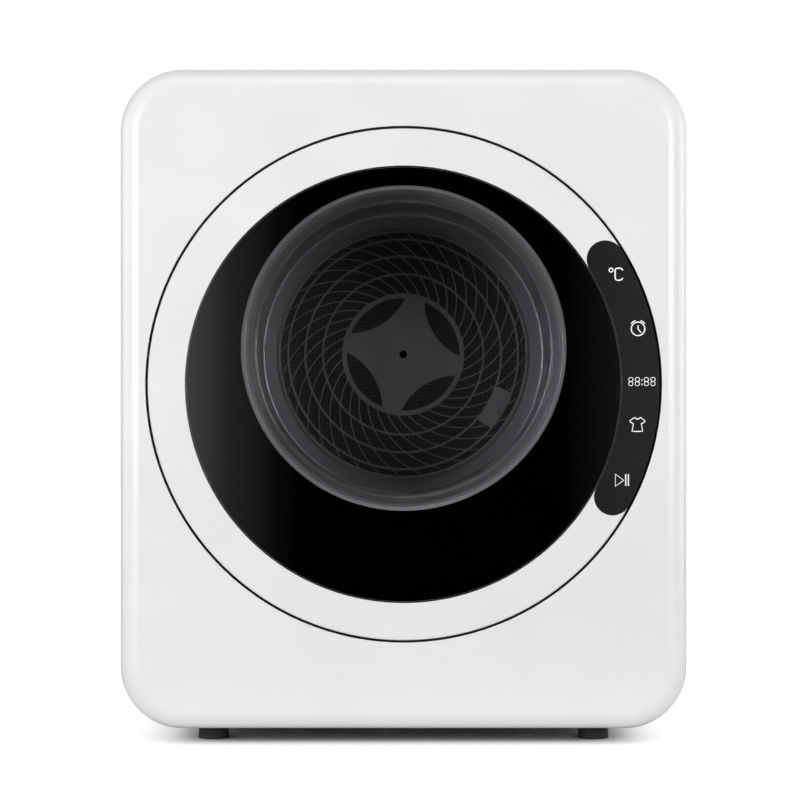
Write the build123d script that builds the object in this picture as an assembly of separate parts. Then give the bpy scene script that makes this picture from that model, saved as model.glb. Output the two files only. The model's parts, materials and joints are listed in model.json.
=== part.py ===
from build123d import *
from math import asin, atan2, cos, degrees, hypot, radians, sin, sqrt
import os

# Compact tumble dryer in millimetres: +X right, +Z up, door facing -Y
# The origin is under the middle of the machine, on the surface it stands on
# A depth is counted from the front plane towards the back
# Cuts and joins run a millimetre past the faces they meet

# Outer body
body_width = 504.4
body_height = 586.8
body_depth = 385.0
collar_reach = 15.0
corner_radius = 55.0
front_edge_radius = 18.0
rear_edge_radius = 5.0
panel_wall = 2.5
wrap_wall = 1.0
cover_wall = 1.2
skirt_depth = 36.0
lip_length = 9.0
cover_rim = 12.5
bulkhead_rim = 10.0
seam = 0.4
seat = 0.3
touch = 0.1

# Feet
foot_height = 13.5
foot_radius = 14.0
foot_side_inset = 80.2
foot_front_inset = 56.0
foot_rear_inset = 42.0
foot_stud_radius = 4.0
foot_taper = 1.0
foot_stud_reach = 6.0

# Door opening
hole_radius = 228.8
door_top_margin = 51.6
door_gap = 2.2
rim_round = 0.6
recess_depth = 32.0
recess_wall = 2.5
recess_clearance = 0.8
bulkhead_wall = 2.5

# Door
face_inset = 0.2
frame_skin = 3.0
frame_ring = 33.0
lip_taper = 0.6
box_inset = 4.0
box_wall = 2.5
glass_thick = 4.0
glass_fit = 0.15
mask_thick = 0.5
ledge_width = 10.0
liner_depth = 12.0
liner_wall = 2.5
window_rise = 32.2
window_radius = 144.3
bowl_flange = 150.0
bowl_mouth = 143.5
bowl_end = 137.5
bowl_depth = 55.0
bowl_wall = 3.0
bowl_round = 5.0
plug_radius = 173.0
plug_depth = 26.0

# Touch panel
panel_low_angle = -28.3
panel_high_angle = 31.85
board_inset = 3.0
board_thick = 1.6
display_width = 34.0
display_height = 13.0
display_thick = 3.5
pocket_margin = 12.0
screw_angles = [46, 68, 90, 118, 145, 215, 238, 270, 294, 316]
screw_inset = 9.0

# Hinge
pivot_outset = 9.2
pivot_depth = 9.0
pin_radius = 2.0
pin_fit = 0.05
arm_spacing = 56.0
arm_thick = 8.0
arm_width = 4.5
arm_clearance = 0.8
arm_eye = 3.6
ear_radius = 4.2
ear_thick = 4.0
hinge_play = 0.3
hinge_plate_thick = 2.5
hinge_plate_reach = 24.0
hinge_base_reach = 26.0
hinge_base_thick = 2.0

# Latch and door switch
latch_inset = 16.8
latch_width = 18.0
latch_height = 28.0
latch_body_depth = 54.0
latch_front = 30.0
plunger_width = 9.0
plunger_height = 14.0
plunger_front = 22.3
plunger_length = 20.0
latch_travel = 4.0
switch_drop = 27.0
switch_radius = 2.5
switch_travel = 2.0
switch_gap = 2.6
switch_length = 24.0
strike_width = 8.0
strike_height = 16.0
strike_foot = 2.0

# Drum
drum_radius = 215.0
drum_wall = 1.0
drum_lip = 15.8
drum_front = 60.0
drum_rear_inset = 100.0
back_rim = 8.0
recess_outer = 138.2
recess_inner = 128.0
floor_inset = 61.0
floor_inner = 112.0
swage_depth = 1.5
swage_width = 12.0
swage_front_inset = 28.0
swage_rear_inset = 20.0
lifter_height = 42.0
lifter_base = 56.0
lifter_top = 18.0
lifter_length = 150.0
lifter_count = 3
lifter_wall = 2.5

# Filter grille
grille_radius = 126.2
grille_thick = 3.0
filter_thick = 1.6
ring_radii = [60.8, 81.1, 99.0, 116.1]
ring_width = 2.0
rim_width = 2.0
rib_count = 36
rib_width = 1.7
rib_twist = 0.723
leaf_outer = 57.0
leaf_inner = 37.5
leaf_half_angle = 35.0
leaf_middle = 33.0
head_recess = 2.0
plate_length = 40.0
plate_width = 16.0
plate_radius = 106.5
plate_angle = -30.0

# Axle, hub and rear wall
axle_radius = 6.0
journal_radius = 5.0
shaft_fit = 0.05
thread_fit = 0.02
hub_radius = 17.0
hub_arm_width = 26.0
hub_arm_reach = 124.0
hub_arm_thick = 4.0
hub_inset = 45.0
hub_floor = 3.0
bush_wall = 3.0
rear_plate_inset = 87.0
rear_wall = 1.2
dish_mouth = 150.0
dish_floor = 138.0
dish_inset = 42.0
inlet_radius = 80.0
spoke_width = 14.0
spider_hub = 17.0
spider_thick = 3.0
journal_step = 0.5
nut_thick = 4.0

# Felt seals
felt_radial = 2.4
felt_length = 9.0
rear_felt_inner = 152.0
rear_felt_width = 10.0
door_seal_inner = 156.0
door_seal_width = 11.0
felt_gap = 0.3

# Mouth and hot air outlet
mouth_radius = 152.0
boss_radius = 196.0
boss_depth = 70.0
slot_inner = 163.0
slot_outer = 186.0
slot_width = 6.0
slot_count = 11
slot_step = 5.5
duct_mouth = 24.0

# Front support rollers
roller_radius = 15.0
roller_width = 12.0
roller_angle = 28.0
roller_pin_radius = 4.0
roller_play = 0.5
roller_setback = 6.0
roller_pin_head = 2.5

# Fan
fan_radius = 100.0
fan_start_inset = 37.5
fan_plate_inset = 21.0
fan_plate_thick = 2.0
blade_inner = 62.0
blade_count = 20
blade_thick = 1.6
blade_lean = 18.0
fan_hub_reach = 3.0
shroud_width = 13.0
shroud_thick = 1.5
fan_hub_radius = 12.0
rim_land = 8.0
groove_depth = 2.6
housing_gap = 12.0
housing_wall = 2.5
housing_inset = 5.0
collar_radius = 50.0
collar_wall = 2.5
collar_flange = 8.0
collar_flange_thick = 2.0
collar_step = 0.7
guard_radii = [12, 24, 36]
guard_width = 2.0
guard_depth = 3.0

# Motor and belts
motor_x = 102.2
motor_rise = 77.0
motor_radius = 52.0
motor_inset = 160.0
motor_length = 110.0
motor_shaft_radius = 5.0
motor_step = 8.0
motor_wall = 3.0
motor_nose = 4.0
motor_nose_radius = 14.0
rotor_radius = 27.0
rotor_length = 60.0
winding_radius = 38.0
drum_pulley_radius = 4.5
fan_pulley_radius = 34.0
belt_lead = 41.0
belt_width = 12.0
belt_thick = 1.8
round_belt_radius = 2.5
belt_gap = 0.3
cradle_thick = 3.0
idler_radius = 14.0
idler_pivot_rise = 30.0
idler_arm_length = 74.9
idler_arm_angle = 55.9
idler_pin_radius = 4.0
capacitor_radius = 17.0
capacitor_length = 65.0
capacitor_lead = 92.0
spring_radius = 5.0
spring_wire = 0.8
spring_turns = 9
spring_place = 0.55

# Heater duct
duct_half_width = 66.0
duct_front = 37.0
duct_back = 175.0
duct_throat = 20.5
duct_rise = 16.0
duct_height = 72.0
duct_wall = 2.0
heater_start = 100.0
heater_length = 45.0
heater_fins = 16
thermostat_radius = 9.0

# Electrics and base
tray_thick = 1.5
tray_rim = 14.0
tray_side_gap = 60.0
box_width = 88.0
box_length = 180.0
box_side_gap = 4.0
box_back_gap = 8.0
box_height = 62.0
box_shell = 2.0
box_vents = 8
board_rise = 9.0
gland_radius = 9.0
gland_bore = 3.6
gland_side_inset = 82.2
gland_rise = 52.0
screw_radius = 2.0
screw_head = 4.0
screw_length = 9.0
screw_head_rise = 1.8
drive_length = 4.8
drive_width = 1.2
cover_screw_inset = 22.0
cover_screw_end = 60.0
vent_rows = 7
vent_pitch = 11.0
vent_step = 62.0
vent_rise = 32.0
vent_middle = -35.0
vent_length = 52.0
vent_width = 5.0
boss_wall = 2.5

# Places that follow from the sizes above
overall_depth = body_depth + collar_reach
body_middle = foot_height + body_height / 2
body_top = foot_height + body_height
door_radius = hole_radius - door_gap
door_z = body_top - door_top_margin - hole_radius
glass_radius = door_radius - frame_ring
drum_z = door_z + window_rise
panel_middle = (glass_radius + door_radius) / 2
pivot_x = -(hole_radius + pivot_outset)
recess_back = recess_depth + bulkhead_wall
drum_rear = body_depth - drum_rear_inset
floor_depth = body_depth - floor_inset
hub_back = body_depth - hub_inset
rear_plate_depth = body_depth - rear_plate_inset
dish_depth = body_depth - dish_inset
fan_start = body_depth - fan_start_inset
fan_plate_depth = body_depth - fan_plate_inset
housing_back = body_depth - housing_inset
motor_front = body_depth - motor_inset
belt_depth = motor_front - belt_lead
capacitor_front = belt_depth - capacitor_lead
tray_half_width = body_width / 2 - tray_side_gap
box_right = tray_half_width - box_side_gap
box_left = box_right - box_width
box_back = rear_plate_depth - box_back_gap
box_front = box_back - box_length
gland_x = body_width / 2 - gland_side_inset
gland_height = foot_height + gland_rise
duct_low = foot_height + duct_rise
duct_high = duct_low + duct_height
vent_low = foot_height + vent_rise
grille_front = floor_depth - filter_thick - grille_thick
inner_floor = foot_height + wrap_wall
tray_top = inner_floor + tray_thick
motor_place = (-body_width / 2 + motor_x, foot_height + motor_rise)
latch_x = hole_radius - latch_inset
liner_back = liner_depth + liner_wall
standing = (Align.CENTER, Align.CENTER, Align.MIN)


def y_at(depth):
    return depth - overall_depth / 2


# A flat outline drawn in x and z, given thickness between two depths
def slab(outline, front, back):
    return extrude(Pos(0, y_at(back), 0) * (Plane.XZ * outline), back - front)


def rod(radius, front, back, x=0.0, z=drum_z):
    return slab(Pos(x, z) * Circle(radius), front, back)


def tube(outer, inner, front, back, x=0.0, z=drum_z):
    return slab(Pos(x, z) * (Circle(outer) - Circle(inner)), front, back)


# A block between two corners given as x, depth and z
def block(x0, x1, front, back, z0, z1):
    outline = Pos((x0 + x1) / 2, (z0 + z1) / 2) * Rectangle(x1 - x0, z1 - z0)
    return slab(outline, front, back)


# A solid turned about the line at x and z, from a closed outline of radius and depth
def turned(points, x=0.0, z=drum_z, rounds=None):
    radii = rounds or [0] * len(points)
    outline = FilletPolyline(*[(r, y_at(d)) for r, d in points], radius=radii, close=True)
    return Pos(x, 0, z) * revolve(make_face(outline), Axis.Y, 360)


# A flat outline drawn in x and y, given height between two levels
def plate(outline, low, high):
    return extrude(Pos(0, 0, low) * outline, high - low)


def body_outline(inset):
    size = RectangleRounded(body_width - 2 * inset, body_height - 2 * inset, corner_radius - inset)
    return Pos(0, body_middle) * size


def on_circle(radius, angle, x=0.0, z=0.0):
    return (x + radius * cos(radians(angle)), z + radius * sin(radians(angle)))


# Round the front or back edges of a slab
def soft_edges(solid, radius, at_front=True):
    faces = solid.faces().sort_by(Axis.Y)
    face = faces[0] if at_front else faces[-1]
    return fillet(face.outer_wire().edges(), radius)


def round_rim(solid, radius, depth, amount):
    rims = []
    for edge in solid.edges():
        if edge.geom_type == GeomType.CIRCLE and abs(edge.radius - radius) < 0.01:
            if abs(edge.center().Y - y_at(depth)) < 0.01:
                rims.append(edge)
    return fillet(rims, amount)


# A screw whose head stands on the face at a depth, towards the back or, with sense -1, the front
def cross_screw(x, z, face, length, sense=1):
    top = face + sense * screw_head_rise
    head = turned([(0, top), (screw_head - 1, top), (screw_head, face), (0, face)], x, z)
    shank = rod(screw_radius, *sorted((face - sense * length, face + sense * 0.1)), x, z)
    near, far = sorted((face + sense * 0.7, top + sense))
    wide = drive_width / 2
    long = drive_length / 2
    drive = block(x - wide, x + wide, near, far, z - long, z + long)
    drive += block(x - long, x + long, near, far, z - wide, z + wide)
    return head + shank - drive


# Cabinet

def front_panel():
    outer = soft_edges(slab(body_outline(0), 0, skirt_depth), front_edge_radius)
    inner = slab(body_outline(panel_wall), panel_wall, skirt_depth + 1)
    inner = soft_edges(inner, front_edge_radius - panel_wall)
    lip_inset = wrap_wall + touch
    lip = slab(body_outline(lip_inset), skirt_depth - 1, skirt_depth + lip_length)
    lip -= slab(body_outline(panel_wall + wrap_wall), skirt_depth - 2, skirt_depth + lip_length + 1)
    panel = outer - inner + lip
    panel -= rod(hole_radius, -1, panel_wall + 1, z=door_z)
    return round_rim(panel, hole_radius, 0, rim_round)


def cabinet_wrap():
    front = skirt_depth + seam
    back = body_depth - cover_rim - seam
    wrap = slab(body_outline(0), front, back) - slab(body_outline(wrap_wall), front - 1, back + 1)
    for x, depth in foot_places():
        wrap -= Pos(x, y_at(depth), foot_height) * Cylinder(foot_stud_radius + touch, 8)
    return wrap


def rear_cover():
    front = body_depth - cover_rim
    cover = soft_edges(slab(body_outline(0), front, body_depth), rear_edge_radius, False)
    inner = slab(body_outline(cover_wall), front - 1, body_depth - cover_wall)
    cover -= soft_edges(inner, rear_edge_radius - cover_wall, False)
    lip = slab(body_outline(wrap_wall + touch), front - lip_length, front + 2)
    lip -= slab(body_outline(wrap_wall + touch + cover_wall), front - lip_length - 1, front + 3)
    cover += lip
    cover -= rod(collar_radius + 1, front, body_depth + 1)
    cover -= rod(gland_radius - 2, front, body_depth + 1, gland_x, gland_height)
    for x, z in cover_screw_places():
        cover -= rod(screw_radius + touch, front, body_depth + 1, x, z)
    for row in range(vent_rows):
        for column in (-1, 0, 1):
            place = Pos(vent_middle + column * vent_step, vent_low + row * vent_pitch)
            cover -= slab(place * SlotOverall(vent_length, vent_width), front, body_depth + 1)
    return cover


def cover_screw_places():
    side = body_width / 2 - cover_screw_inset
    low = foot_height + cover_screw_end
    high = body_top - cover_screw_end
    places = [(s * side, z) for s in (-1, 1) for z in (low, body_middle, high)]
    across = body_width / 2 - corner_radius - 25
    return places + [(s * across, body_top - cover_screw_inset) for s in (-1, 1)]


def cabinet_screws():
    return [cross_screw(x, z, body_depth, screw_length) for x, z in cover_screw_places()]


# Base, feet and electrics

def foot_places():
    side = body_width / 2 - foot_side_inset
    depths = (foot_front_inset, body_depth - foot_rear_inset)
    return [(s * side, depth) for s in (-1, 1) for depth in depths]


def feet():
    made = []
    for x, depth in foot_places():
        pad = Cone(foot_radius, foot_radius - foot_taper, foot_height, align=standing)
        pad = fillet(pad.edges().group_by(Axis.Z)[0], foot_taper)
        stud_length = wrap_wall + tray_thick + foot_stud_reach
        stud = Pos(0, 0, foot_height - 0.5) * Cylinder(foot_stud_radius, stud_length, align=standing)
        made.append(Pos(x, y_at(depth), 0) * (pad + stud))
    return made


def base_tray():
    front = skirt_depth + lip_length + 3
    back = body_depth - cover_rim - lip_length - 3
    half = tray_half_width
    tray = block(-half, half, front, back, inner_floor, tray_top)
    rims = block(-half, -half + tray_thick, front, back, inner_floor, inner_floor + tray_rim)
    rims += block(half - tray_thick, half, front, back, inner_floor, inner_floor + tray_rim)
    rims += block(-half, half, front, front + tray_thick, inner_floor, inner_floor + tray_rim)
    rims += block(-half, half, back - tray_thick, back, inner_floor, inner_floor + tray_rim)
    tray += rims
    for x, depth in foot_places():
        tray -= Pos(x, y_at(depth), tray_top) * Cylinder(foot_stud_radius + touch, 12)
    return tray


def power_box():
    top = tray_top + box_height
    box = block(box_left, box_right, box_front, box_back, tray_top, top)
    box -= block(box_left + box_shell, box_right - box_shell, box_front + box_shell,
                 box_back - box_shell, tray_top + box_shell, top - box_shell)
    for step in range(box_vents):
        z = tray_top + 14 + step * 5
        box -= block(box_left - 1, box_left + box_shell + 1, box_front + 20, box_back - 20, z, z + 2)
    for x in (box_left + 9, box_right - 9):
        for depth in (box_front + 12, box_back - 12):
            box += Pos(x, y_at(depth), tray_top + 1) * Cylinder(3, board_rise - 1, align=standing)
    return box


def power_board():
    low = tray_top + board_rise
    board = block(box_left + 4, box_right - 4, box_front + 5, box_back - 5, low, low + board_thick)
    blocks = [
        (box_left + 12, box_left + 40, box_front + 20, box_front + 44, 17),
        (box_left + 48, box_left + 74, box_front + 20, box_front + 44, 17),
        (box_left + 12, box_left + 46, box_front + 60, box_front + 92, 24),
        (box_left + 52, box_left + 72, box_front + 60, box_front + 76, 12),
        (box_left + 12, box_left + 70, box_front + 104, box_front + 112, 9),
        (box_left + 14, box_left + 34, box_front + 122, box_front + 148, 20),
    ]
    for x0, x1, front, back, tall in blocks:
        board += block(x0, x1, front, back, low + board_thick, low + board_thick + tall)
    can = Pos(box_left + 60, y_at(box_front + 134), low + board_thick + 13) * Cylinder(9, 26)
    return board + can


def mains_gland():
    inside = body_depth - cover_wall
    points = [
        (gland_bore, inside - 12), (gland_radius - 2.2, inside - 12), (gland_radius - 2.2, inside - 4),
        (gland_radius, inside - 4), (gland_radius, inside), (gland_radius - 2, inside),
        (gland_radius - 2, body_depth), (gland_radius, body_depth), (gland_radius - 1, body_depth + 5),
        (gland_bore, body_depth + 5),
    ]
    return turned(points, gland_x, gland_height)


# Front bulkhead with the door recess, the loading mouth and the hot air outlet

def front_bulkhead():
    wall = slab(body_outline(panel_wall + seat), recess_depth, recess_back)
    inner = hole_radius + recess_clearance
    wall += tube(inner + recess_wall, inner, panel_wall, recess_depth + 1, z=door_z)
    wall += rod(boss_radius, recess_back - 1, boss_depth)
    hollow = tube(boss_radius - bulkhead_wall, mouth_radius + bulkhead_wall, recess_back,
                  boss_depth - bulkhead_wall)
    wall = wall - hollow - rod(mouth_radius, 0, boss_depth + 1)
    wall -= block(-duct_half_width + duct_wall, duct_half_width - duct_wall, duct_front + duct_wall,
                  duct_front + duct_throat - duct_wall, drum_z - boss_radius - 5,
                  drum_z - boss_radius + duct_mouth)
    wall -= hot_air_slots()
    for side in (-1, 1):
        x, z = roller_place(side)
        wall += rod(2 * roller_pin_radius, recess_back - 1, drum_front + roller_setback, x, z)
        wall -= rod(roller_pin_radius + shaft_fit, drum_front - 8, drum_front + roller_setback + 1, x, z)
    wall -= latch_cut()
    span = arm_spacing / 2 + arm_thick / 2 + 1
    reach = arm_spacing / 2 - arm_thick / 2 - 1
    for low, high in ((-span, -reach), (reach, span)):
        wall -= block(pivot_x + ear_radius + 1, -hole_radius * 0.9, 0, recess_depth - 2,
                      door_z + low, door_z + high)
    return wall


def hot_air_slots():
    slots = None
    middle = (slot_inner + slot_outer) / 2
    for index in range(slot_count):
        angle = -90 + (index - (slot_count - 1) / 2) * slot_step
        x, z = on_circle(middle, angle, 0, drum_z)
        slot = Pos(x, z) * Rot(0, 0, angle) * SlotOverall(slot_outer - slot_inner, slot_width)
        slots = slot if slots is None else slots + slot
    return slab(slots, boss_depth - bulkhead_wall - 1, boss_depth + 1)


def latch_cut():
    half = latch_width / 2 + touch
    low = door_z - latch_height / 2 - switch_drop - touch
    return block(latch_x - half, latch_x + half, recess_depth - 1, recess_back + 1, low,
                 door_z + latch_height / 2 + touch)


def door_seal():
    front = plug_depth + felt_gap
    outer = door_seal_inner + door_seal_width
    points = [
        (door_seal_inner, recess_depth), (outer, recess_depth), (outer, recess_depth - 2),
        (outer - 4, recess_depth - 2.5), (outer - 3, front), (outer - 5.5, front),
        (door_seal_inner + 2, recess_depth - 2.5), (door_seal_inner, recess_depth - 2),
    ]
    return turned(points)


def drum_front_seal():
    inner = boss_radius + touch
    return tube(inner + felt_radial, inner, drum_front - 1, drum_front - 1 + felt_length)


def roller_place(side):
    distance = drum_radius + belt_gap + roller_radius
    return on_circle(distance, -90 + side * roller_angle, 0, drum_z)


def roller_front():
    return drum_front + roller_setback + roller_play


def front_roller(side):
    x, z = roller_place(side)
    front = roller_front()
    back = front + roller_width
    bore = roller_pin_radius + shaft_fit
    points = [
        (bore, front), (bore + 4, front), (bore + 4, front + 1), (roller_radius - 3, front + 1),
        (roller_radius - 3, front), (roller_radius, front), (roller_radius, back),
        (roller_radius - 3, back), (roller_radius - 3, back - 1), (bore + 4, back - 1),
        (bore + 4, back), (bore, back),
    ]
    return turned(points, x, z)


def roller_pins():
    pins = []
    for side in (-1, 1):
        x, z = roller_place(side)
        back = roller_front() + roller_width + roller_play
        pin = rod(roller_pin_radius, drum_front - 8, back, x, z)
        pins.append(pin + rod(roller_pin_radius + roller_pin_head, back, back + 2, x, z))
    return pins


# Door

def touch_outline(inner_inset, outer_inset):
    inner = glass_radius + glass_fit + inner_inset
    outer = door_radius - outer_inset
    middle = (inner + outer) / 2
    cap = (outer - inner) / 2
    low = panel_low_angle
    high = panel_high_angle
    centre = (low + high) / 2
    inner_arc = ThreePointArc(on_circle(inner, low), on_circle(inner, centre), on_circle(inner, high))
    outer_arc = ThreePointArc(on_circle(outer, low), on_circle(outer, centre), on_circle(outer, high))
    ends = [Line(on_circle(inner, angle), on_circle(outer, angle)) for angle in (low, high)]
    outline = make_face([inner_arc, outer_arc] + ends)
    for angle in (low, high):
        outline += Pos(*on_circle(middle, angle)) * Circle(cap)
    return Pos(0, door_z) * outline


def door_frame():
    front = face_inset
    step = front + frame_skin
    back = liner_depth
    seat_depth = front + glass_thick + mask_thick + 0.05
    inner = glass_radius + glass_fit
    box = door_radius - box_inset
    points = [
        (inner, front), (door_radius - 0.8, front), (door_radius, front + 0.8),
        (door_radius - lip_taper, step), (box, step), (box, back), (box - box_wall, back),
        (box - box_wall, step), (inner + box_wall, step), (inner + box_wall, seat_depth + box_wall),
        (inner - ledge_width, seat_depth + box_wall), (inner - ledge_width, seat_depth),
        (inner, seat_depth),
    ]
    frame = turned(points, z=door_z)
    frame -= slab(touch_outline(-touch, -touch), -1, step + 0.01)
    floor = [(inner + box_wall, back - box_wall), (box, back - box_wall), (box, back),
             (inner + box_wall - ledge_width, back), (inner + box_wall - ledge_width, seat_depth + 1),
             (inner + box_wall, seat_depth + 1)]
    pocket = turned(floor, z=door_z)
    frame += pocket & slab(pocket_sector(), 0, back)
    for x, z in door_screw_places():
        frame += rod(screw_radius + boss_wall, step - 0.5, back, x, z)
        frame -= rod(screw_radius, step + 0.5, back + 1, x, z)
    return frame


# The part of the frame behind the touch panel is closed by a pocket floor
def pocket_sector():
    reach = door_radius * 1.2
    low = on_circle(reach, panel_low_angle - pocket_margin)
    high = on_circle(reach, panel_high_angle + pocket_margin)
    far = (reach * 1.4, 0)
    return Pos(0, door_z) * make_face(Polyline([(0, 0), low, far, high], close=True))


def touch_panel():
    return slab(touch_outline(0, 0), face_inset, face_inset + frame_skin)


def touch_board():
    front = face_inset + frame_skin
    outline = touch_outline(board_inset, box_inset + box_wall + seat)
    return slab(outline, front, front + board_thick)


def display_module():
    front = face_inset + frame_skin + board_thick
    x = panel_middle - 2
    return block(x - display_height / 2, x + display_height / 2, front, front + display_thick,
                 door_z - display_width / 2, door_z + display_width / 2)


def door_glass():
    glass = rod(glass_radius, face_inset, face_inset + glass_thick, z=door_z)
    return round_rim(glass, glass_radius, face_inset, 0.5)


def window_mask():
    front = face_inset + glass_thick
    mask = rod(glass_radius - 0.5, front, front + mask_thick, z=door_z)
    return mask - rod(window_radius, front - 1, front + 2)


def window_bowl():
    flange_front = liner_depth - bowl_wall + 0.5
    inner_mouth = bowl_mouth - bowl_wall
    inner_end = bowl_end - bowl_wall
    points = [
        (0, bowl_depth - bowl_wall), (inner_end, bowl_depth - bowl_wall), (inner_mouth, flange_front),
        (bowl_flange, flange_front), (bowl_flange, liner_depth), (bowl_mouth, liner_depth),
        (bowl_end, bowl_depth), (0, bowl_depth),
    ]
    return turned(points, rounds=[0, bowl_round - bowl_wall, 2, 0.5, 0.5, 0, bowl_round, 0])


def door_liner():
    hole = bowl_mouth + bowl_wall
    outline = Pos(0, door_z) * Circle(door_radius - box_inset) - Pos(0, drum_z) * Circle(hole)
    liner = slab(outline, liner_depth, liner_back)
    inner = plug_radius - liner_wall
    points = [
        (hole, liner_depth), (hole + liner_wall, liner_depth), (hole + liner_wall, plug_depth - liner_wall),
        (inner, plug_depth - liner_wall), (inner, liner_depth), (plug_radius, liner_depth),
        (plug_radius, plug_depth), (hole, plug_depth),
    ]
    liner += turned(points, rounds=[0, 0, 1, 1, 0, 0, 3, 3])
    liner -= tube(inner, hole + liner_wall, liner_depth - 1, plug_depth - liner_wall - 0.01)
    for x, z in door_screw_places():
        liner -= rod(screw_radius + touch, liner_depth - 1, liner_back + 1, x, z)
    return liner


def door_screw_places():
    radius = door_radius - box_inset - screw_inset
    return [on_circle(radius, angle, 0, door_z) for angle in screw_angles]


def door_screws():
    return [cross_screw(x, z, liner_back, screw_length - 2) for x, z in door_screw_places()]


# Hinge: outlines are drawn in x and y about the pin

def pin_line(outline, low, high):
    return Pos(pivot_x, y_at(pivot_depth), door_z) * plate(outline, low, high)


# How far the corner of the door hole reaches from the pin at the outer side of an arm
def rim_reach():
    across = arm_spacing / 2 + arm_thick / 2
    edge = sqrt(hole_radius ** 2 - across ** 2)
    return hypot(-pivot_x - edge, pivot_depth)


def hinge_arm():
    inner = rim_reach() + arm_clearance
    outer = inner + arm_width
    stem_left = -arm_eye + 0.2
    stem_right = stem_left + arm_width
    plate_front = liner_back - pivot_depth
    points = [
        (stem_left, 0), (stem_right, 0), (stem_right, inner), (inner, inner), (inner, plate_front),
        (outer, plate_front), (outer, outer), (stem_left, outer),
    ]
    path = FilletPolyline(*points, radius=[0, 0, 1.5, 1.5, 0, 0, 5, 5], close=True)
    arm = make_face(path) + Circle(arm_eye) - Circle(pin_radius + pin_fit)
    half = arm_thick / 2
    hinge = pin_line(arm, arm_spacing / 2 - half, arm_spacing / 2 + half)
    hinge += pin_line(arm, -arm_spacing / 2 - half, -arm_spacing / 2 + half)
    across = arm_spacing / 2 + half
    pad = Pos((inner + hinge_plate_reach) / 2 + 4, plate_front + hinge_plate_thick / 2) * Rectangle(
        hinge_plate_reach - inner + 8, hinge_plate_thick)
    return hinge + pin_line(pad, -across, across)


def hinge_bracket():
    floor = recess_depth - pivot_depth
    ear = Circle(ear_radius)
    ear += Pos(0, floor / 2) * Rectangle(2 * ear_radius, floor)
    ear -= Circle(pin_radius + pin_fit / 2)
    base_left = pivot_x + body_width / 2 - panel_wall - 1.0
    base = Pos((ear_radius - base_left) / 2, floor - hinge_base_thick / 2) * Rectangle(
        base_left + ear_radius, hinge_base_thick)
    gap = arm_thick / 2 + hinge_play
    half = arm_spacing / 2 + hinge_base_reach
    bracket = pin_line(base, -half, half)
    for middle in (-arm_spacing / 2, arm_spacing / 2):
        bracket += pin_line(ear, middle + gap, middle + gap + ear_thick)
        bracket += pin_line(ear, middle - gap - ear_thick, middle - gap)
    return bracket


def hinge_pin():
    half = arm_spacing / 2 + arm_thick / 2 + hinge_play + ear_thick
    pin = pin_line(Circle(pin_radius), -half - 2, half)
    return pin + pin_line(Circle(pin_radius + 1.5), half, half + 1.5)


# Latch and door switch

def latch_strike():
    wide = strike_width / 2
    tall = strike_height / 2
    pad = block(latch_x - wide - strike_foot, latch_x + wide + strike_foot, liner_back,
                liner_back + strike_foot, door_z - tall - 4, door_z + tall + 4)
    back = plunger_front - felt_gap
    return pad + block(latch_x - wide, latch_x + wide, liner_back, back, door_z - tall, door_z + tall)


def latch_housing():
    low = door_z - latch_height / 2 - switch_drop
    high = door_z + latch_height / 2
    half = latch_width / 2
    body = block(latch_x - half, latch_x + half, latch_front, latch_body_depth, low, high)
    body += block(latch_x - half - 2, latch_x + half + 1, latch_front, recess_depth, low - 4, high + 4)
    room = plunger_front + plunger_length + latch_travel + 1
    body -= block(latch_x - plunger_width / 2 - seat, latch_x + plunger_width / 2 + seat, 0, room,
                  door_z - plunger_height / 2 - seat, door_z + plunger_height / 2 + seat)
    switch_z = door_z - switch_drop
    body -= rod(switch_radius + seat, 0, switch_back() + switch_travel + 1, latch_x, switch_z)
    return body


def latch_plunger():
    back = plunger_front + plunger_length
    half_wide = plunger_width / 2
    half_tall = plunger_height / 2
    outline = Pos(latch_x, door_z) * RectangleRounded(2 * half_wide, 2 * half_tall, 2)
    plunger = slab(outline, plunger_front, back)
    return plunger - block(latch_x - 2.5, latch_x + 2.5, plunger_front + 6, back + 1, door_z - 4, door_z + 4)


def switch_back():
    return liner_back + switch_gap + switch_length


def switch_plunger():
    front = liner_back + switch_gap
    points = [(0, front), (switch_radius, front), (switch_radius, switch_back()), (0, switch_back())]
    return turned(points, latch_x, door_z - switch_drop, rounds=[0, 1.2, 0, 0])


# Drum

def drum_shell():
    inner = drum_radius - drum_wall
    lip = drum_radius - drum_lip
    end = drum_rear + back_rim
    points = [(lip, drum_front), (drum_radius, drum_front)]
    swages = (drum_front + swage_front_inset, drum_rear - swage_rear_inset)
    for middle in swages:
        half = swage_width / 2
        low = drum_radius - swage_depth
        points += [(drum_radius, middle - half), (low, middle - half + 2), (low, middle + half - 2),
                   (drum_radius, middle + half)]
    points += [(drum_radius, end), (inner, end)]
    for middle in reversed(swages):
        half = swage_width / 2
        low = inner - swage_depth
        points += [(inner, middle + half), (low, middle + half - 2), (low, middle - half + 2),
                   (inner, middle - half)]
    points += [(inner, drum_front + drum_wall), (lip, drum_front + drum_wall)]
    return turned(points)


def drum_back():
    outer = drum_radius - drum_wall - touch / 2
    rear = drum_rear + drum_wall
    rim = drum_rear + back_rim
    points = [
        (outer, drum_rear), (outer, rim), (outer - drum_wall, rim), (outer - drum_wall, rear),
        (recess_outer, rear), (recess_inner, floor_depth + drum_wall),
        (floor_inner, floor_depth + drum_wall), (floor_inner, floor_depth),
        (recess_inner - drum_wall, floor_depth), (recess_outer - drum_wall, drum_rear),
    ]
    return turned(points, rounds=[2, 0, 0, 1, 4, 4, 0, 0, 3, 3])


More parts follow.
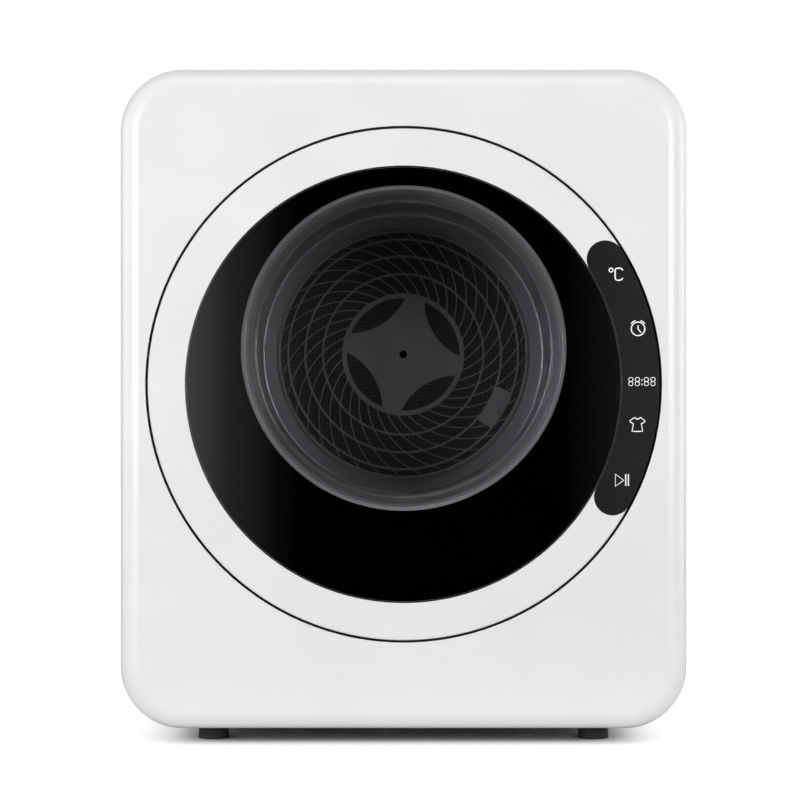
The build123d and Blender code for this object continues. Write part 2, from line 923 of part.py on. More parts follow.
def drum_lifters():
    base = drum_radius - drum_wall - touch
    top = base - lifter_height
    front = drum_front + (drum_rear - drum_front - lifter_length) / 2
    lifters = []
    for index in range(lifter_count):
        angle = 90 + index * 360 / lifter_count
        outer = [(base + 6, -lifter_base / 2), (top, -lifter_top / 2), (top, lifter_top / 2),
                 (base + 6, lifter_base / 2)]
        wall = lifter_wall
        inner = [(base + 7, -lifter_base / 2 + wall * 1.2), (top + wall, -lifter_top / 2 + wall),
                 (top + wall, lifter_top / 2 - wall), (base + 7, lifter_base / 2 - wall * 1.2)]
        shape = make_face(FilletPolyline(*outer, radius=[0, 7, 7, 0], close=True))
        hollow = make_face(FilletPolyline(*inner, radius=[0, 4.5, 4.5, 0], close=True))
        turn = Pos(0, drum_z) * Rot(0, 0, angle)
        lifter = slab(turn * shape, front, front + lifter_length)
        lifter -= slab(turn * hollow, front + wall, front + lifter_length - wall)
        lifters.append(lifter & rod(base, front - 1, front + lifter_length + 1))
    return lifters


def drum_hub():
    arms = rod(hub_radius, floor_depth - filter_thick, hub_back)
    back = floor_depth + drum_wall
    for angle in range(45, 405, 90):
        middle = hub_arm_reach / 2
        x, z = on_circle(middle, angle, 0, drum_z)
        bar = Pos(x, z) * Rot(0, 0, angle) * Rectangle(hub_arm_reach, hub_arm_width)
        arms += slab(bar, back, back + hub_arm_thick)
    arms = arms & rod(hub_arm_reach, 0, body_depth)
    arms -= rod(axle_radius + shaft_fit + bush_wall, floor_depth + hub_floor, hub_back + 1)
    return arms - rod(screw_radius, floor_depth - 5, floor_depth + hub_floor + 1)


def hub_bush():
    inner = axle_radius + shaft_fit
    return tube(inner + bush_wall, inner, floor_depth + hub_floor, hub_back)


def lint_filter():
    front = floor_depth - filter_thick
    outer = recess_inner - drum_wall - 4
    ring = tube(outer, floor_inner, front, floor_depth)
    mesh = tube(floor_inner + 1, hub_radius + seat, front + 0.5, front + 1.1)
    disc = ring + mesh + tube(hub_radius + 5, hub_radius + seat, front, floor_depth)
    for angle in range(0, 360, 45):
        x, z = on_circle((floor_inner + 1 + hub_radius + seat) / 2, angle, 0, drum_z)
        bar = Pos(x, z) * Rot(0, 0, angle) * Rectangle(floor_inner + 1 - hub_radius - seat, 3)
        disc += slab(bar, front, floor_depth)
    return disc


# One gap between two rings and two neighbouring ribs of the grille
def grille_gap(inner, outer, index):
    pitch = 360 / rib_count
    first = index * pitch
    edges = []
    sides = []
    for side in (1, -1):
        points = []
        for radius in (inner, (inner + outer) / 2, outer):
            half_rib = degrees(rib_width / 2 / radius)
            start = first if side > 0 else first + pitch
            points.append(on_circle(radius, start + radius * rib_twist + side * half_rib))
        sides.append(points)
        edges.append(ThreePointArc(*points))
    for end in (0, 2):
        radius = (inner, 0, outer)[end]
        low = sides[0][end]
        high = sides[1][end]
        middle = degrees(atan2(low[1] + high[1], low[0] + high[0]))
        edges.append(ThreePointArc(low, on_circle(radius, middle), high))
    return make_face(edges)


def leaf_outline(angle):
    low = on_circle(leaf_outer, angle - leaf_half_angle)
    high = on_circle(leaf_outer, angle + leaf_half_angle)
    outer = ThreePointArc(low, on_circle(leaf_outer, angle), high)
    inner = ThreePointArc(low, on_circle(leaf_inner, angle), high)
    return make_face([outer, inner])


def rear_grille():
    edges = ring_radii + [grille_radius - rim_width + ring_width / 2]
    holes = []
    for inner, outer in zip(edges[:-1], edges[1:]):
        for index in range(rib_count):
            holes.append(grille_gap(inner + ring_width / 2, outer - ring_width / 2, index))
    for step in range(4):
        holes.append(leaf_outline(leaf_middle + step * 90))
    wires = [hole.face().outer_wire() for hole in holes]
    disc = Face(Circle(grille_radius).face().outer_wire(), wires)
    back = grille_front + grille_thick
    grille = slab(Pos(0, drum_z) * disc, grille_front, back)
    x, z = on_circle(plate_radius, plate_angle, 0, drum_z)
    bare = Pos(x, z) * Rot(0, 0, plate_angle) * RectangleRounded(plate_width, plate_length, 3)
    grille += slab(bare, grille_front - 1, back - 0.5)
    grille -= rod(screw_head + touch, grille_front - 1, grille_front + head_recess)
    return grille - rod(screw_radius + touch, grille_front - 1, back + 1)


def grille_screw():
    front = grille_front + head_recess
    return cross_screw(0, drum_z, front, floor_depth + hub_floor - 0.5 - front, -1)


# Rear bulkhead, axle and seals

def rear_bulkhead():
    back = rear_plate_depth + rear_wall
    edge = wrap_wall + seat
    wall = slab(body_outline(edge), rear_plate_depth, back)
    rim = slab(body_outline(edge), back, back + bulkhead_rim)
    wall += rim - slab(body_outline(edge + rear_wall), 0, body_depth)
    wall -= rod(dish_mouth - 1, 0, body_depth)
    floor_back = dish_depth + rear_wall
    wall += turned([
        (dish_mouth, rear_plate_depth), (dish_floor - rear_wall, dish_depth), (inlet_radius, dish_depth),
        (inlet_radius, floor_back), (dish_floor, floor_back), (dish_mouth + rear_wall, back),
        (dish_mouth + rear_wall, rear_plate_depth),
    ])
    wall += rod(spider_hub, dish_depth, floor_back + spider_thick)
    for angle in range(0, 360, 90):
        x, z = on_circle(inlet_radius / 2 + 2, angle, 0, drum_z)
        bar = Pos(x, z) * Rot(0, 0, angle) * Rectangle(inlet_radius + 4, spoke_width)
        wall += slab(bar, dish_depth, floor_back)
    wall -= rod(journal_radius + journal_step + touch, 0, body_depth)
    half = tray_half_width + seat
    wall -= block(-half, half, 0, body_depth, foot_height, inner_floor + tray_rim + seat)
    return wall - rod(motor_radius + 2, 0, body_depth, *motor_place)


def rear_seal():
    outer = rear_felt_inner + rear_felt_width
    return tube(outer, rear_felt_inner, drum_rear + drum_wall + felt_gap, rear_plate_depth)


def rear_axle():
    floor_back = dish_depth + rear_wall + spider_thick
    axle = rod(axle_radius, floor_depth + hub_floor + 1, dish_depth)
    axle += rod(spider_hub - 4, dish_depth - 2, dish_depth)
    axle += rod(journal_radius + journal_step, dish_depth, floor_back)
    axle += rod(journal_radius, dish_depth, nut_front())
    return axle + rod(journal_radius - 1, dish_depth, nut_front() + nut_thick + 2)


def axle_nut():
    front = nut_front()
    nut = slab(Pos(0, drum_z) * RegularPolygon(journal_radius + 3, 6), front, front + nut_thick)
    return nut - rod(journal_radius - 1 + thread_fit, 0, body_depth)


# Fan

def fan_hub_back():
    return fan_plate_depth + fan_plate_thick + fan_hub_reach


def nut_front():
    return fan_hub_back() + hinge_play


def pulley_groove(outer, front):
    middle = front + rim_land / 2
    land = groove_depth + 0.9
    return [(outer - 5, front), (outer, front), (outer, middle - land), (outer - groove_depth, middle - 0.8),
            (outer - groove_depth, middle + 0.8), (outer, middle + land), (outer, front + rim_land),
            (outer - 5, front + rim_land)]


def groove_front():
    return fan_plate_depth + fan_plate_thick / 2 - rim_land / 2


def fan_impeller():
    plate_back = fan_plate_depth + fan_plate_thick
    fan = tube(fan_radius - 4, journal_radius + shaft_fit, fan_plate_depth, plate_back)
    fan += turned(pulley_groove(fan_radius, groove_front()))
    fan += tube(fan_hub_radius, journal_radius + shaft_fit, fan_start + 2, fan_hub_back())
    outer = fan_radius - 5
    fan += tube(outer, outer - shroud_width, fan_start, fan_start + shroud_thick)
    for index in range(blade_count):
        angle = index * 360 / blade_count
        start = on_circle(blade_inner, angle)
        middle = on_circle((blade_inner + outer) / 2, angle + 0.4 * blade_lean)
        end = on_circle(outer - 0.5, angle + blade_lean)
        curve = ThreePointArc(start, middle, end)
        blade = Pos(0, drum_z) * trace(curve, blade_thick)
        fan += slab(blade, fan_start + 1, fan_plate_depth + 0.5)
    return fan - rod(journal_radius + shaft_fit, 0, body_depth)


def fan_pulley():
    front = groove_front()
    bore = motor_shaft_radius + thread_fit
    web = fan_pulley_radius - 5
    points = [(bore, front)] + pulley_groove(fan_pulley_radius, front)[1:]
    points += [(web, front + 4), (12, front + 4), (12, front + rim_land), (bore, front + rim_land)]
    return turned(points, *motor_place)


def fan_housing():
    inner = fan_radius + housing_gap
    outer = inner + housing_wall
    front = dish_depth + rear_wall
    points = [
        (outer + 9, front), (outer + 9, front + 2), (outer, front + 2), (outer, housing_back),
        (collar_radius + 0.5, housing_back), (collar_radius + 0.5, housing_back - housing_wall),
        (inner, housing_back - housing_wall), (inner, front),
    ]
    housing = turned(points)
    return housing - slab(belt_outline(fan_belt_circles(6)), groove_front() - 1, groove_front() + rim_land + 1)


def exhaust_collar():
    inner = collar_radius - collar_wall
    flange = collar_radius + collar_flange
    flange_back = housing_back + collar_flange_thick
    points = [
        (inner, housing_back), (flange, housing_back), (flange, flange_back),
        (collar_radius + collar_step, flange_back), (collar_radius + collar_step, body_depth),
        (collar_radius, body_depth), (collar_radius, overall_depth - 1),
        (collar_radius - 1, overall_depth), (inner, overall_depth),
    ]
    collar = turned(points)
    back = overall_depth - 3
    for radius in guard_radii:
        collar += tube(radius + guard_width / 2, radius - guard_width / 2, back - guard_depth, back)
    for angle in (0, 45, 90, 135):
        bar = Pos(0, drum_z) * Rot(0, 0, angle) * Rectangle(2 * inner + 1, guard_width)
        collar += slab(bar, back - guard_depth, back)
    return collar


# Belts: circles are given as centre, radius and sense, +1 for a pulley inside the loop

def tangent(first, second):
    x0, z0, r0, s0 = first
    x1, z1, r1, s1 = second
    along = degrees(atan2(z1 - z0, x1 - x0))
    turn = degrees(asin((s0 * r0 - s1 * r1) / hypot(x1 - x0, z1 - z0)))
    normal = along + turn + 90
    return on_circle(-s0 * r0, normal, x0, z0), on_circle(-s1 * r1, normal, x1, z1)


def belt_outline(circles):
    spans = []
    for index, circle in enumerate(circles):
        spans.append(tangent(circle, circles[(index + 1) % len(circles)]))
    edges = []
    for index, circle in enumerate(circles):
        x, z, radius, sense = circle
        arrive = spans[index - 1][1]
        leave = spans[index][0]
        start = degrees(atan2(arrive[1] - z, arrive[0] - x))
        end = degrees(atan2(leave[1] - z, leave[0] - x))
        sweep_angle = (end - start) % 360 if sense > 0 else -((start - end) % 360)
        middle = on_circle(radius, start + sweep_angle / 2, x, z)
        edges.append(ThreePointArc(arrive, middle, leave))
        edges.append(Line(*spans[index]))
    return make_face(edges)


def idler_place():
    x, z = motor_place[0], tray_top + idler_pivot_rise
    return on_circle(idler_arm_length, idler_arm_angle, x, z)


def drum_belt_circles(lift):
    return [
        (0, drum_z, drum_radius + belt_gap + lift, 1),
        (*motor_place, drum_pulley_radius + belt_gap + lift, 1),
        (*idler_place(), idler_radius + belt_gap + belt_thick - lift, -1),
    ]


def drum_belt():
    band = belt_outline(drum_belt_circles(belt_thick)) - belt_outline(drum_belt_circles(0))
    return slab(band, belt_depth, belt_depth + belt_width)


def fan_belt_circles(lift):
    groove = belt_gap + round_belt_radius - groove_depth
    return [
        (0, drum_z, fan_radius + groove + lift, 1),
        (*motor_place, fan_pulley_radius + groove + lift, 1),
    ]


def fan_belt():
    line = belt_outline(fan_belt_circles(0)).face().outer_wire()
    middle = groove_front() + rim_land / 2
    path = Pos(0, y_at(middle), 0) * (Plane.XZ * line)
    start = path.edges()[1]
    section = Plane(origin=start @ 0, z_dir=start % 0) * Circle(round_belt_radius)
    return sweep(section, path)


# Motor, idler and capacitor

def motor_body():
    front = motor_front
    back = motor_front + motor_length
    wide = motor_radius
    bore = motor_shaft_radius + shaft_fit
    cap = wide - motor_step
    nose = motor_nose_radius
    points = [
        (bore, front - motor_nose), (nose, front - motor_nose), (nose, front), (cap, front),
        (cap, front + 10), (wide, front + 10), (wide, back - 10), (cap, back - 10), (cap, back),
        (nose, back), (nose, back + motor_nose), (bore, back + motor_nose),
    ]
    body = turned(points, *motor_place, rounds=[0, 0, 0, 3, 0, 2, 2, 0, 3, 0, 0, 0])
    middle = front + motor_length / 2
    room = rotor_length / 2 + 3
    body -= tube(rotor_radius + 1, bore - 1, middle - room, middle + room, *motor_place)
    hollow = cap - motor_wall
    ends = ((front + motor_wall, middle - room), (middle + room, back - motor_wall))
    for near, far in ends:
        body -= tube(hollow, bore - 1, near, far, *motor_place)
    body += tube(winding_radius, rotor_radius + 2, ends[0][0] + 5, ends[0][1] + 1, *motor_place)
    body += tube(winding_radius, rotor_radius + 2, ends[1][0] - 1, ends[1][1] - 5, *motor_place)
    for angle in range(0, 360, 30):
        x, z = on_circle(wide - 20, angle, *motor_place)
        vent = slab(Pos(x, z) * Rot(0, 0, angle) * SlotOverall(16, 6), front - 1, front + motor_wall + 1)
        body -= vent
        body -= Pos(0, motor_length - motor_wall, 0) * vent
    return body


def motor_shaft():
    middle = motor_front + motor_length / 2
    half = rotor_length / 2
    end = groove_front() + rim_land + 2
    shaft = rod(motor_shaft_radius, motor_front - 10, end, *motor_place)
    shaft += rod(drum_pulley_radius, belt_depth - 4, motor_front - 9, *motor_place)
    shaft += rod(rotor_radius, middle - half, middle + half, *motor_place)
    for step in range(6):
        depth = belt_depth + 1 + step * 2
        shaft -= tube(drum_pulley_radius + 1, drum_pulley_radius - 0.5, depth, depth + 0.8, *motor_place)
    return shaft


def motor_bracket():
    x, z = motor_place
    half = motor_radius + 4
    front = belt_depth + belt_width + 6
    back = motor_front + motor_length - 4
    base = block(x - half + 20, x + half, front, back, tray_top, tray_top + cradle_thick)
    for depth in (motor_front + 13, motor_front + motor_length - 18):
        base += block(x - half + 20, x + half - 20, depth, depth + cradle_thick, tray_top, z - 12)
    base -= rod(motor_radius + touch, motor_front - 20, back + 20, x, z)
    base += block(x - 9, x + 9, front, front + cradle_thick, tray_top, tray_top + idler_pivot_rise + 8)
    pivot_z = tray_top + idler_pivot_rise
    base += rod(idler_pin_radius, belt_depth + 2, front + 1, x, pivot_z)
    return base


def idler_arm():
    pivot = (motor_place[0], tray_top + idler_pivot_rise)
    x, z = idler_place()
    back = belt_depth + belt_width + 5.5
    front = back - 3
    middle = ((x + pivot[0]) / 2, (z + pivot[1]) / 2)
    bar = Pos(*middle) * Rot(0, 0, idler_arm_angle) * SlotCenterToCenter(idler_arm_length, 14)
    arm = slab(bar, front, back) - rod(idler_pin_radius + shaft_fit, 0, body_depth, *pivot)
    arm += tube(idler_pin_radius + 4, idler_pin_radius + shaft_fit, belt_depth + 6, back, *pivot)
    return arm + rod(idler_pin_radius, belt_depth - 2, front + 1, x, z)


def idler_pulley():
    place = idler_place()
    bore = idler_pin_radius + shaft_fit
    front = belt_depth - 1
    back = belt_depth + belt_width + 1
    points = [
        (bore, front), (idler_radius + 2.5, front), (idler_radius + 2.5, front + 0.7), (idler_radius, front + 0.7),
        (idler_radius, back - 0.7), (idler_radius + 2.5, back - 0.7), (idler_radius + 2.5, back), (bore, back),
    ]
    return turned(points, *place)


def idler_spring():
    pivot = (motor_place[0], tray_top + idler_pivot_rise)
    x, z = on_circle(idler_arm_length * spring_place, idler_arm_angle, *pivot)
    top = z - 16
    low = tray_top + cradle_thick
    pitch = (top - low - spring_wire) / spring_turns
    path = Helix(pitch, pitch * spring_turns, spring_radius)
    section = Plane(origin=path @ 0, z_dir=path % 0) * Circle(spring_wire)
    coil = sweep(section, path, is_frenet=True)
    depth = belt_depth + belt_width + 12
    return Pos(x + 14, y_at(depth), low + spring_wire) * coil


def capacitor():
    x = motor_place[0] - 12
    z = tray_top + capacitor_radius
    front = capacitor_front
    back = front + capacitor_length
    can = turned([(0, front), (capacitor_radius, front), (capacitor_radius, back), (0, back)], x, z,
                 rounds=[0, 2.5, 1, 0])
    can += rod(capacitor_radius - 4, back, back + 3, x, z)
    for side in (-1, 1):
        can += block(x + side * 6 - 0.4, x + side * 6 + 0.4, back + 2, back + 12, z - 3, z + 3)
    return can


# Heater duct: warm air comes forward under the drum and rises into the bulkhead

def heater_duct():
    half = duct_half_width
    wall = duct_wall
    top = drum_z - sqrt(boss_radius ** 2 - half ** 2)
    front = duct_front
    back = duct_front + duct_throat
    duct = block(-half, half, front, back, duct_low, top)
    duct += block(-half, half, back - 1, duct_back, duct_low, duct_high)
    room = block(-half + wall, half - wall, front + wall, back - wall, duct_low + wall, top + 1)
    room += block(-half + wall, half - wall, back - wall - 1, duct_back + 1, duct_low + wall,
                  duct_high - wall)
    duct = duct - room - rod(boss_radius + seat, 0, drum_front + 10)
    feet_blocks = block(-half - 10, -half + 1, back, duct_back, duct_low, duct_low + wall)
    feet_blocks += block(half - 1, half + 10, back, duct_back, duct_low, duct_low + wall)
    for side in (-1, 1):
        x = side * (half + 6)
        for depth in (back + 8, duct_back - 12):
            feet_blocks += block(x - 4, x + 4, depth, depth + 8, tray_top, duct_low + wall)
    return duct + feet_blocks


def ptc_heater():
    half = duct_half_width - duct_wall - seat
    low = duct_low + duct_wall + seat
    high = duct_high - duct_wall - seat
    back = heater_start + heater_length
    frame = block(-half, half, heater_start, back, low, high)
    pitch = (high - low - 6) / heater_fins
    for index in range(heater_fins):
        z = low + 3 + index * pitch
        frame -= block(-half + 4, half - 4, heater_start - 1, back + 1, z + 0.8, z + pitch)
    return frame


def thermostats():
    made = []
    for depth in (heater_start + 8, heater_start + 34):
        cap = Cylinder(thermostat_radius, 5, align=standing)
        cap += Pos(0, 0, 5) * Cylinder(thermostat_radius - 3, 3, align=standing)
        for side in (-1, 1):
            cap += Pos(side * 4, 0, 6) * Box(0.8, 5, 12)
        made.append(Pos(24, y_at(depth), duct_high) * cap)
    return made


nodes = {
    "front_panel": front_panel(),
    "cabinet_wrap": cabinet_wrap(),
    "rear_cover": rear_cover(),
    "cabinet_screws": cabinet_screws(),
    "base_tray": base_tray(),
    "feet": feet(),
    "front_bulkhead": front_bulkhead(),
    "door_seal": door_seal(),
    "drum_front_seal": drum_front_seal(),
    "roller_pins": roller_pins(),
    "front_roller_left": front_roller(-1),
    "front_roller_right": front_roller(1),
    "door_frame": door_frame(),
    "door_glass": door_glass(),
    "window_mask": window_mask(),
    "window_bowl": window_bowl(),
    "door_liner": door_liner(),
    "door_screws": door_screws(),
    "touch_panel": touch_panel(),
    "touch_board": touch_board(),
    "display_module": display_module(),
    "hinge_arm": hinge_arm(),
    "hinge_bracket": hinge_bracket(),
    "hinge_pin": hinge_pin(),
    "latch_strike": latch_strike(),
    "latch_housing": latch_housing(),
    "latch_plunger": latch_plunger(),
    "switch_plunger": switch_plunger(),
    "drum_shell": drum_shell(),
    "drum_back": drum_back(),
    "drum_lifters": drum_lifters(),
    "drum_hub": drum_hub(),
    "hub_bush": hub_bush(),
    "lint_filter": lint_filter(),
    "rear_grille": rear_grille(),
    "grille_screw": grille_screw(),
    "rear_bulkhead": rear_bulkhead(),
    "rear_seal": rear_seal(),
    "rear_axle": rear_axle(),
    "axle_nut": axle_nut(),
    "fan_impeller": fan_impeller(),
    "fan_pulley": fan_pulley(),
    "fan_housing": fan_housing(),
    "exhaust_collar": exhaust_collar(),
    "motor_body": motor_body(),
    "motor_shaft": motor_shaft(),
    "motor_bracket": motor_bracket(),
    "drum_belt": drum_belt(),
    "fan_belt": fan_belt(),
    "idler_arm": idler_arm(),
    "idler_pulley": idler_pulley(),
    "idler_spring": idler_spring(),
    "capacitor": capacitor(),
    "heater_duct": heater_duct(),
    "ptc_heater": ptc_heater(),
    "thermostats": thermostats(),
    "power_box": power_box(),
    "power_board": power_board(),
    "mains_gland": mains_gland(),
}

os.makedirs("parts", exist_ok=True)
for name, shape in nodes.items():
    if isinstance(shape, list):
        shape = Compound(children=shape)
    export_step(shape, f"parts/{name}.step")
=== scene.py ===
import json
from math import cos, pi, radians, sin

import bmesh
import bpy
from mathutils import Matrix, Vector


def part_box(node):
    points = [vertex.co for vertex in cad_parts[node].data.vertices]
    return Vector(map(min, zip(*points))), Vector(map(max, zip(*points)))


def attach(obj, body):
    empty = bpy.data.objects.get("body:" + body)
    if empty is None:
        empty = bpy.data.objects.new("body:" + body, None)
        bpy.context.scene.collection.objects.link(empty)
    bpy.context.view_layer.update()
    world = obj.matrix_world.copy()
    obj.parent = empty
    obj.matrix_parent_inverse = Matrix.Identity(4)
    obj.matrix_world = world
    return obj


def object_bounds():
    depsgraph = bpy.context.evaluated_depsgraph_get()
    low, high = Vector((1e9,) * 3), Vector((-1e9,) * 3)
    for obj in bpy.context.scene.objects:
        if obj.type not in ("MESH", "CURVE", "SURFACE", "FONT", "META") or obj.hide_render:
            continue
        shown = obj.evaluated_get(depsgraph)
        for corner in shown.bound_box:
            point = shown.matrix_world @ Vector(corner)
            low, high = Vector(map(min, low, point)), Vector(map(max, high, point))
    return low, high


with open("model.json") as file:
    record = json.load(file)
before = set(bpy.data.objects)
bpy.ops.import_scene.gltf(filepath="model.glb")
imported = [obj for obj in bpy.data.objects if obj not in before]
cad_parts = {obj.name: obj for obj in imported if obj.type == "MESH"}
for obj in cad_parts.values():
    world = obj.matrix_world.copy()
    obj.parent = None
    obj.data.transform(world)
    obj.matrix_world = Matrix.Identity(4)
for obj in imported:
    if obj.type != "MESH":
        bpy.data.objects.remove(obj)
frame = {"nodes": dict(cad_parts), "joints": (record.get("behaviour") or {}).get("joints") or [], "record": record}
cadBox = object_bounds()
record = frame["record"]
joints = {joint["name"]: joint for joint in frame["joints"]}
print("frame loaded:", len(frame["nodes"]), "pieces")


# Small helpers

def millimetres(value):
    return value / 1000


# How often a pattern repeats in one metre, from its real size in millimetres
def perMetre(size):
    return 1000 / size


# An sRGB hex value as the linear colour that Blender's sockets take
def colour(text):
    parts = [int(text[i:i + 2], 16) / 255 for i in (1, 3, 5)]
    linear = [p / 12.92 if p <= 0.04045 else ((p + 0.055) / 1.055) ** 2.4 for p in parts]
    return (*linear, 1.0)


# Adds a node and sets its inputs, or links them where a socket is given
def addNode(tree, kind, inputs=None, **settings):
    node = tree.nodes.new(kind)
    for name, value in settings.items():
        setattr(node, name, value)
    for key, value in (inputs or {}).items():
        if isinstance(value, bpy.types.NodeSocket):
            tree.links.new(value, node.inputs[key])
        else:
            node.inputs[key].default_value = value
    return node


def newMaterial(name):
    material = bpy.data.materials.new(name)
    material.use_nodes = True
    material.node_tree.nodes.clear()
    return material, material.node_tree


def showSurface(tree, shader):
    addNode(tree, "ShaderNodeOutputMaterial", {"Surface": shader})


# Gives a colour ramp its stops, two or more, from left to right
def setRamp(node, stops):
    ramp = node.color_ramp
    while len(ramp.elements) > 2:
        ramp.elements.remove(ramp.elements[-1])
    ramp.elements[0].position, ramp.elements[0].color = stops[0]
    ramp.elements[1].position, ramp.elements[1].color = stops[-1]
    for position, value in stops[1:-1]:
        ramp.elements.new(position).color = value
    return node


def grey(value):
    return (value, value, value, 1.0)


def greyStops(stops):
    return [(place, grey(value)) for place, value in stops]


def placeObject(name, data):
    piece = bpy.data.objects.new(name, data)
    bpy.context.scene.collection.objects.link(piece)
    return piece


# Camera

camera = {
    "distance": 2.25,  # from the front of the machine
    "x": -0.0032,
    "belowDoor": 0.0139,  # below the middle of the door
    "lens": 114.4,  # in millimetres, as the sensor's width is
    "sensorWidth": 36,
    "farEnd": 50,
}

frontPlane = cadBox[0][1]
doorMiddle = joints["door_hinge"]["pos_m"][2]
cameraData = bpy.data.cameras.new("camera")
cameraData.lens = camera["lens"]
cameraData.sensor_width = camera["sensorWidth"]
cameraData.clip_end = camera["farEnd"]
cameraObject = placeObject("camera", cameraData)
cameraObject.location = (
    camera["x"], frontPlane - camera["distance"], doorMiddle - camera["belowDoor"])
cameraObject.rotation_euler = (radians(90), 0, 0)
bpy.context.scene.camera = cameraObject
print("camera placed")


# Materials, each from what the real one is. Sizes in a look are in millimetres.

drumAxis = (0.0, 0.0, joints["drum_spin"]["pos_m"][2])
noiseLow, noiseHigh = 0.3, 0.7  # most of a noise's values lie between them
skinShine = (0.93, 1.07)  # how far the gloss of a skin drifts
metalShine = (0.8, 1.2)


# How far a point lies from an axis that runs front to back
def distanceFrom(tree, axis):
    place = addNode(tree, "ShaderNodeTexCoord")
    moved = addNode(tree, "ShaderNodeVectorMath", {0: place.outputs["Object"], 1: axis},
                    operation="SUBTRACT")
    flat = addNode(tree, "ShaderNodeVectorMath", {0: moved.outputs[0], 1: (1, 0, 1)},
                   operation="MULTIPLY")
    away = addNode(tree, "ShaderNodeVectorMath", {0: flat.outputs[0]}, operation="LENGTH")
    return moved.outputs[0], away.outputs["Value"]


# Ring coordinates about the drum's axle: distance from it, and depth
def ringCoordinates(tree, stretch):
    moved, away = distanceFrom(tree, drumAxis)
    split = addNode(tree, "ShaderNodeSeparateXYZ", {0: moved})
    around = addNode(tree, "ShaderNodeMath", {0: split.outputs[0], 1: split.outputs[2]},
                     operation="ARCTAN2")
    slow = addNode(tree, "ShaderNodeMath", {0: around.outputs[0], 1: stretch}, operation="MULTIPLY")
    return addNode(tree, "ShaderNodeCombineXYZ",
                   {0: away, 1: split.outputs[1], 2: slow.outputs[0]}).outputs[0]


# Moulded, painted and cast surfaces: a base colour that drifts a little, and a fine skin
def skinMaterial(name, look):
    material, tree = newMaterial(name)
    place = addNode(tree, "ShaderNodeTexCoord").outputs["Object"]
    drift = addNode(tree, "ShaderNodeTexNoise", {
        "Vector": place, "Scale": perMetre(look["driftSize"]), "Detail": 3.0, "Roughness": 0.55})
    tint = setRamp(addNode(tree, "ShaderNodeValToRGB", {0: drift.outputs["Fac"]}),
                   [(noiseLow, colour(look["dark"])), (noiseHigh, colour(look["light"]))])
    shine = addNode(tree, "ShaderNodeMapRange", {
        "Value": drift.outputs["Fac"], "From Min": noiseLow, "From Max": noiseHigh,
        "To Min": look["roughness"] * skinShine[0], "To Max": look["roughness"] * skinShine[1]})
    skin = addNode(tree, "ShaderNodeTexNoise", {
        "Vector": place, "Scale": perMetre(look["skinSize"]), "Detail": 2.0})
    bump = addNode(tree, "ShaderNodeBump", {
        "Height": skin.outputs["Fac"], "Strength": look["skinStrength"],
        "Distance": millimetres(look["skinHeight"])})
    shader = addNode(tree, "ShaderNodeBsdfPrincipled", {
        "Base Color": tint.outputs[0], "Roughness": shine.outputs[0], "Normal": bump.outputs[0],
        "IOR": look.get("ior", 1.5)})
    showSurface(tree, shader.outputs[0])
    return material


# ABS, injection moulded and polished: bright white, with long soft waves in its gloss
glossyAbs = skinMaterial("glossyAbs", {
    "dark": "#E9E9EA", "light": "#EDEDED", "driftSize": 90, "roughness": 0.3,
    "skinSize": 9, "skinStrength": 0.05, "skinHeight": 0.02})

# Powder-coated sheet steel: fine orange peel about a millimetre and a half across
powderCoat = skinMaterial("powderCoat", {
    "dark": "#E6E6E6", "light": "#EBEBEA", "driftSize": 120, "roughness": 0.38,
    "skinSize": 1.6, "skinStrength": 0.25, "skinHeight": 0.03})

# Polypropylene, moulded with a spark-eroded grain: dark grey inside of the door and its recess
grainedGrey = skinMaterial("grainedGrey", {
    "dark": "#5E6062", "light": "#66686A", "driftSize": 70, "roughness": 0.5,
    "skinSize": 0.8, "skinStrength": 0.3, "skinHeight": 0.03})

# Polypropylene, light grey: the drum's grille and lifters, satin
drumPlastic = skinMaterial("drumPlastic", {
    "dark": "#AAAAAC", "light": "#B7B7B9", "driftSize": 35, "roughness": 0.38,
    "skinSize": 0.9, "skinStrength": 0.25, "skinHeight": 0.02})

# Glass-filled nylon: near black, matt, with short fibres at the surface
blackNylon = skinMaterial("blackNylon", {
    "dark": "#1B1B1D", "light": "#252527", "driftSize": 12, "roughness": 0.55,
    "skinSize": 0.7, "skinStrength": 0.35, "skinHeight": 0.03})

# Acetal, machined or moulded: waxy white sliding parts
acetal = skinMaterial("acetal", {
    "dark": "#DEDCD5", "light": "#E6E4DE", "driftSize": 14, "roughness": 0.36,
    "skinSize": 0.9, "skinStrength": 0.15, "skinHeight": 0.01, "ior": 1.48})

# Enamelled motor shell: black dip paint with a little sag
motorEnamel = skinMaterial("motorEnamel", {
    "dark": "#1D1E20", "light": "#2A2B2D", "driftSize": 18, "roughness": 0.32,
    "skinSize": 3, "skinStrength": 0.3, "skinHeight": 0.05})

# Nitrile rubber: black with a dusty bloom
rubber = skinMaterial("rubber", {
    "dark": "#151515", "light": "#232323", "driftSize": 9, "roughness": 0.72,
    "skinSize": 0.5, "skinStrength": 0.5, "skinHeight": 0.04})

# Black ceramic print on the back of the glass: opaque and even
blackPrint = skinMaterial("blackPrint", {
    "dark": "#030303", "light": "#040404", "driftSize": 50, "roughness": 0.6,
    "skinSize": 0.6, "skinStrength": 0.1, "skinHeight": 0.005, "ior": 1.02})


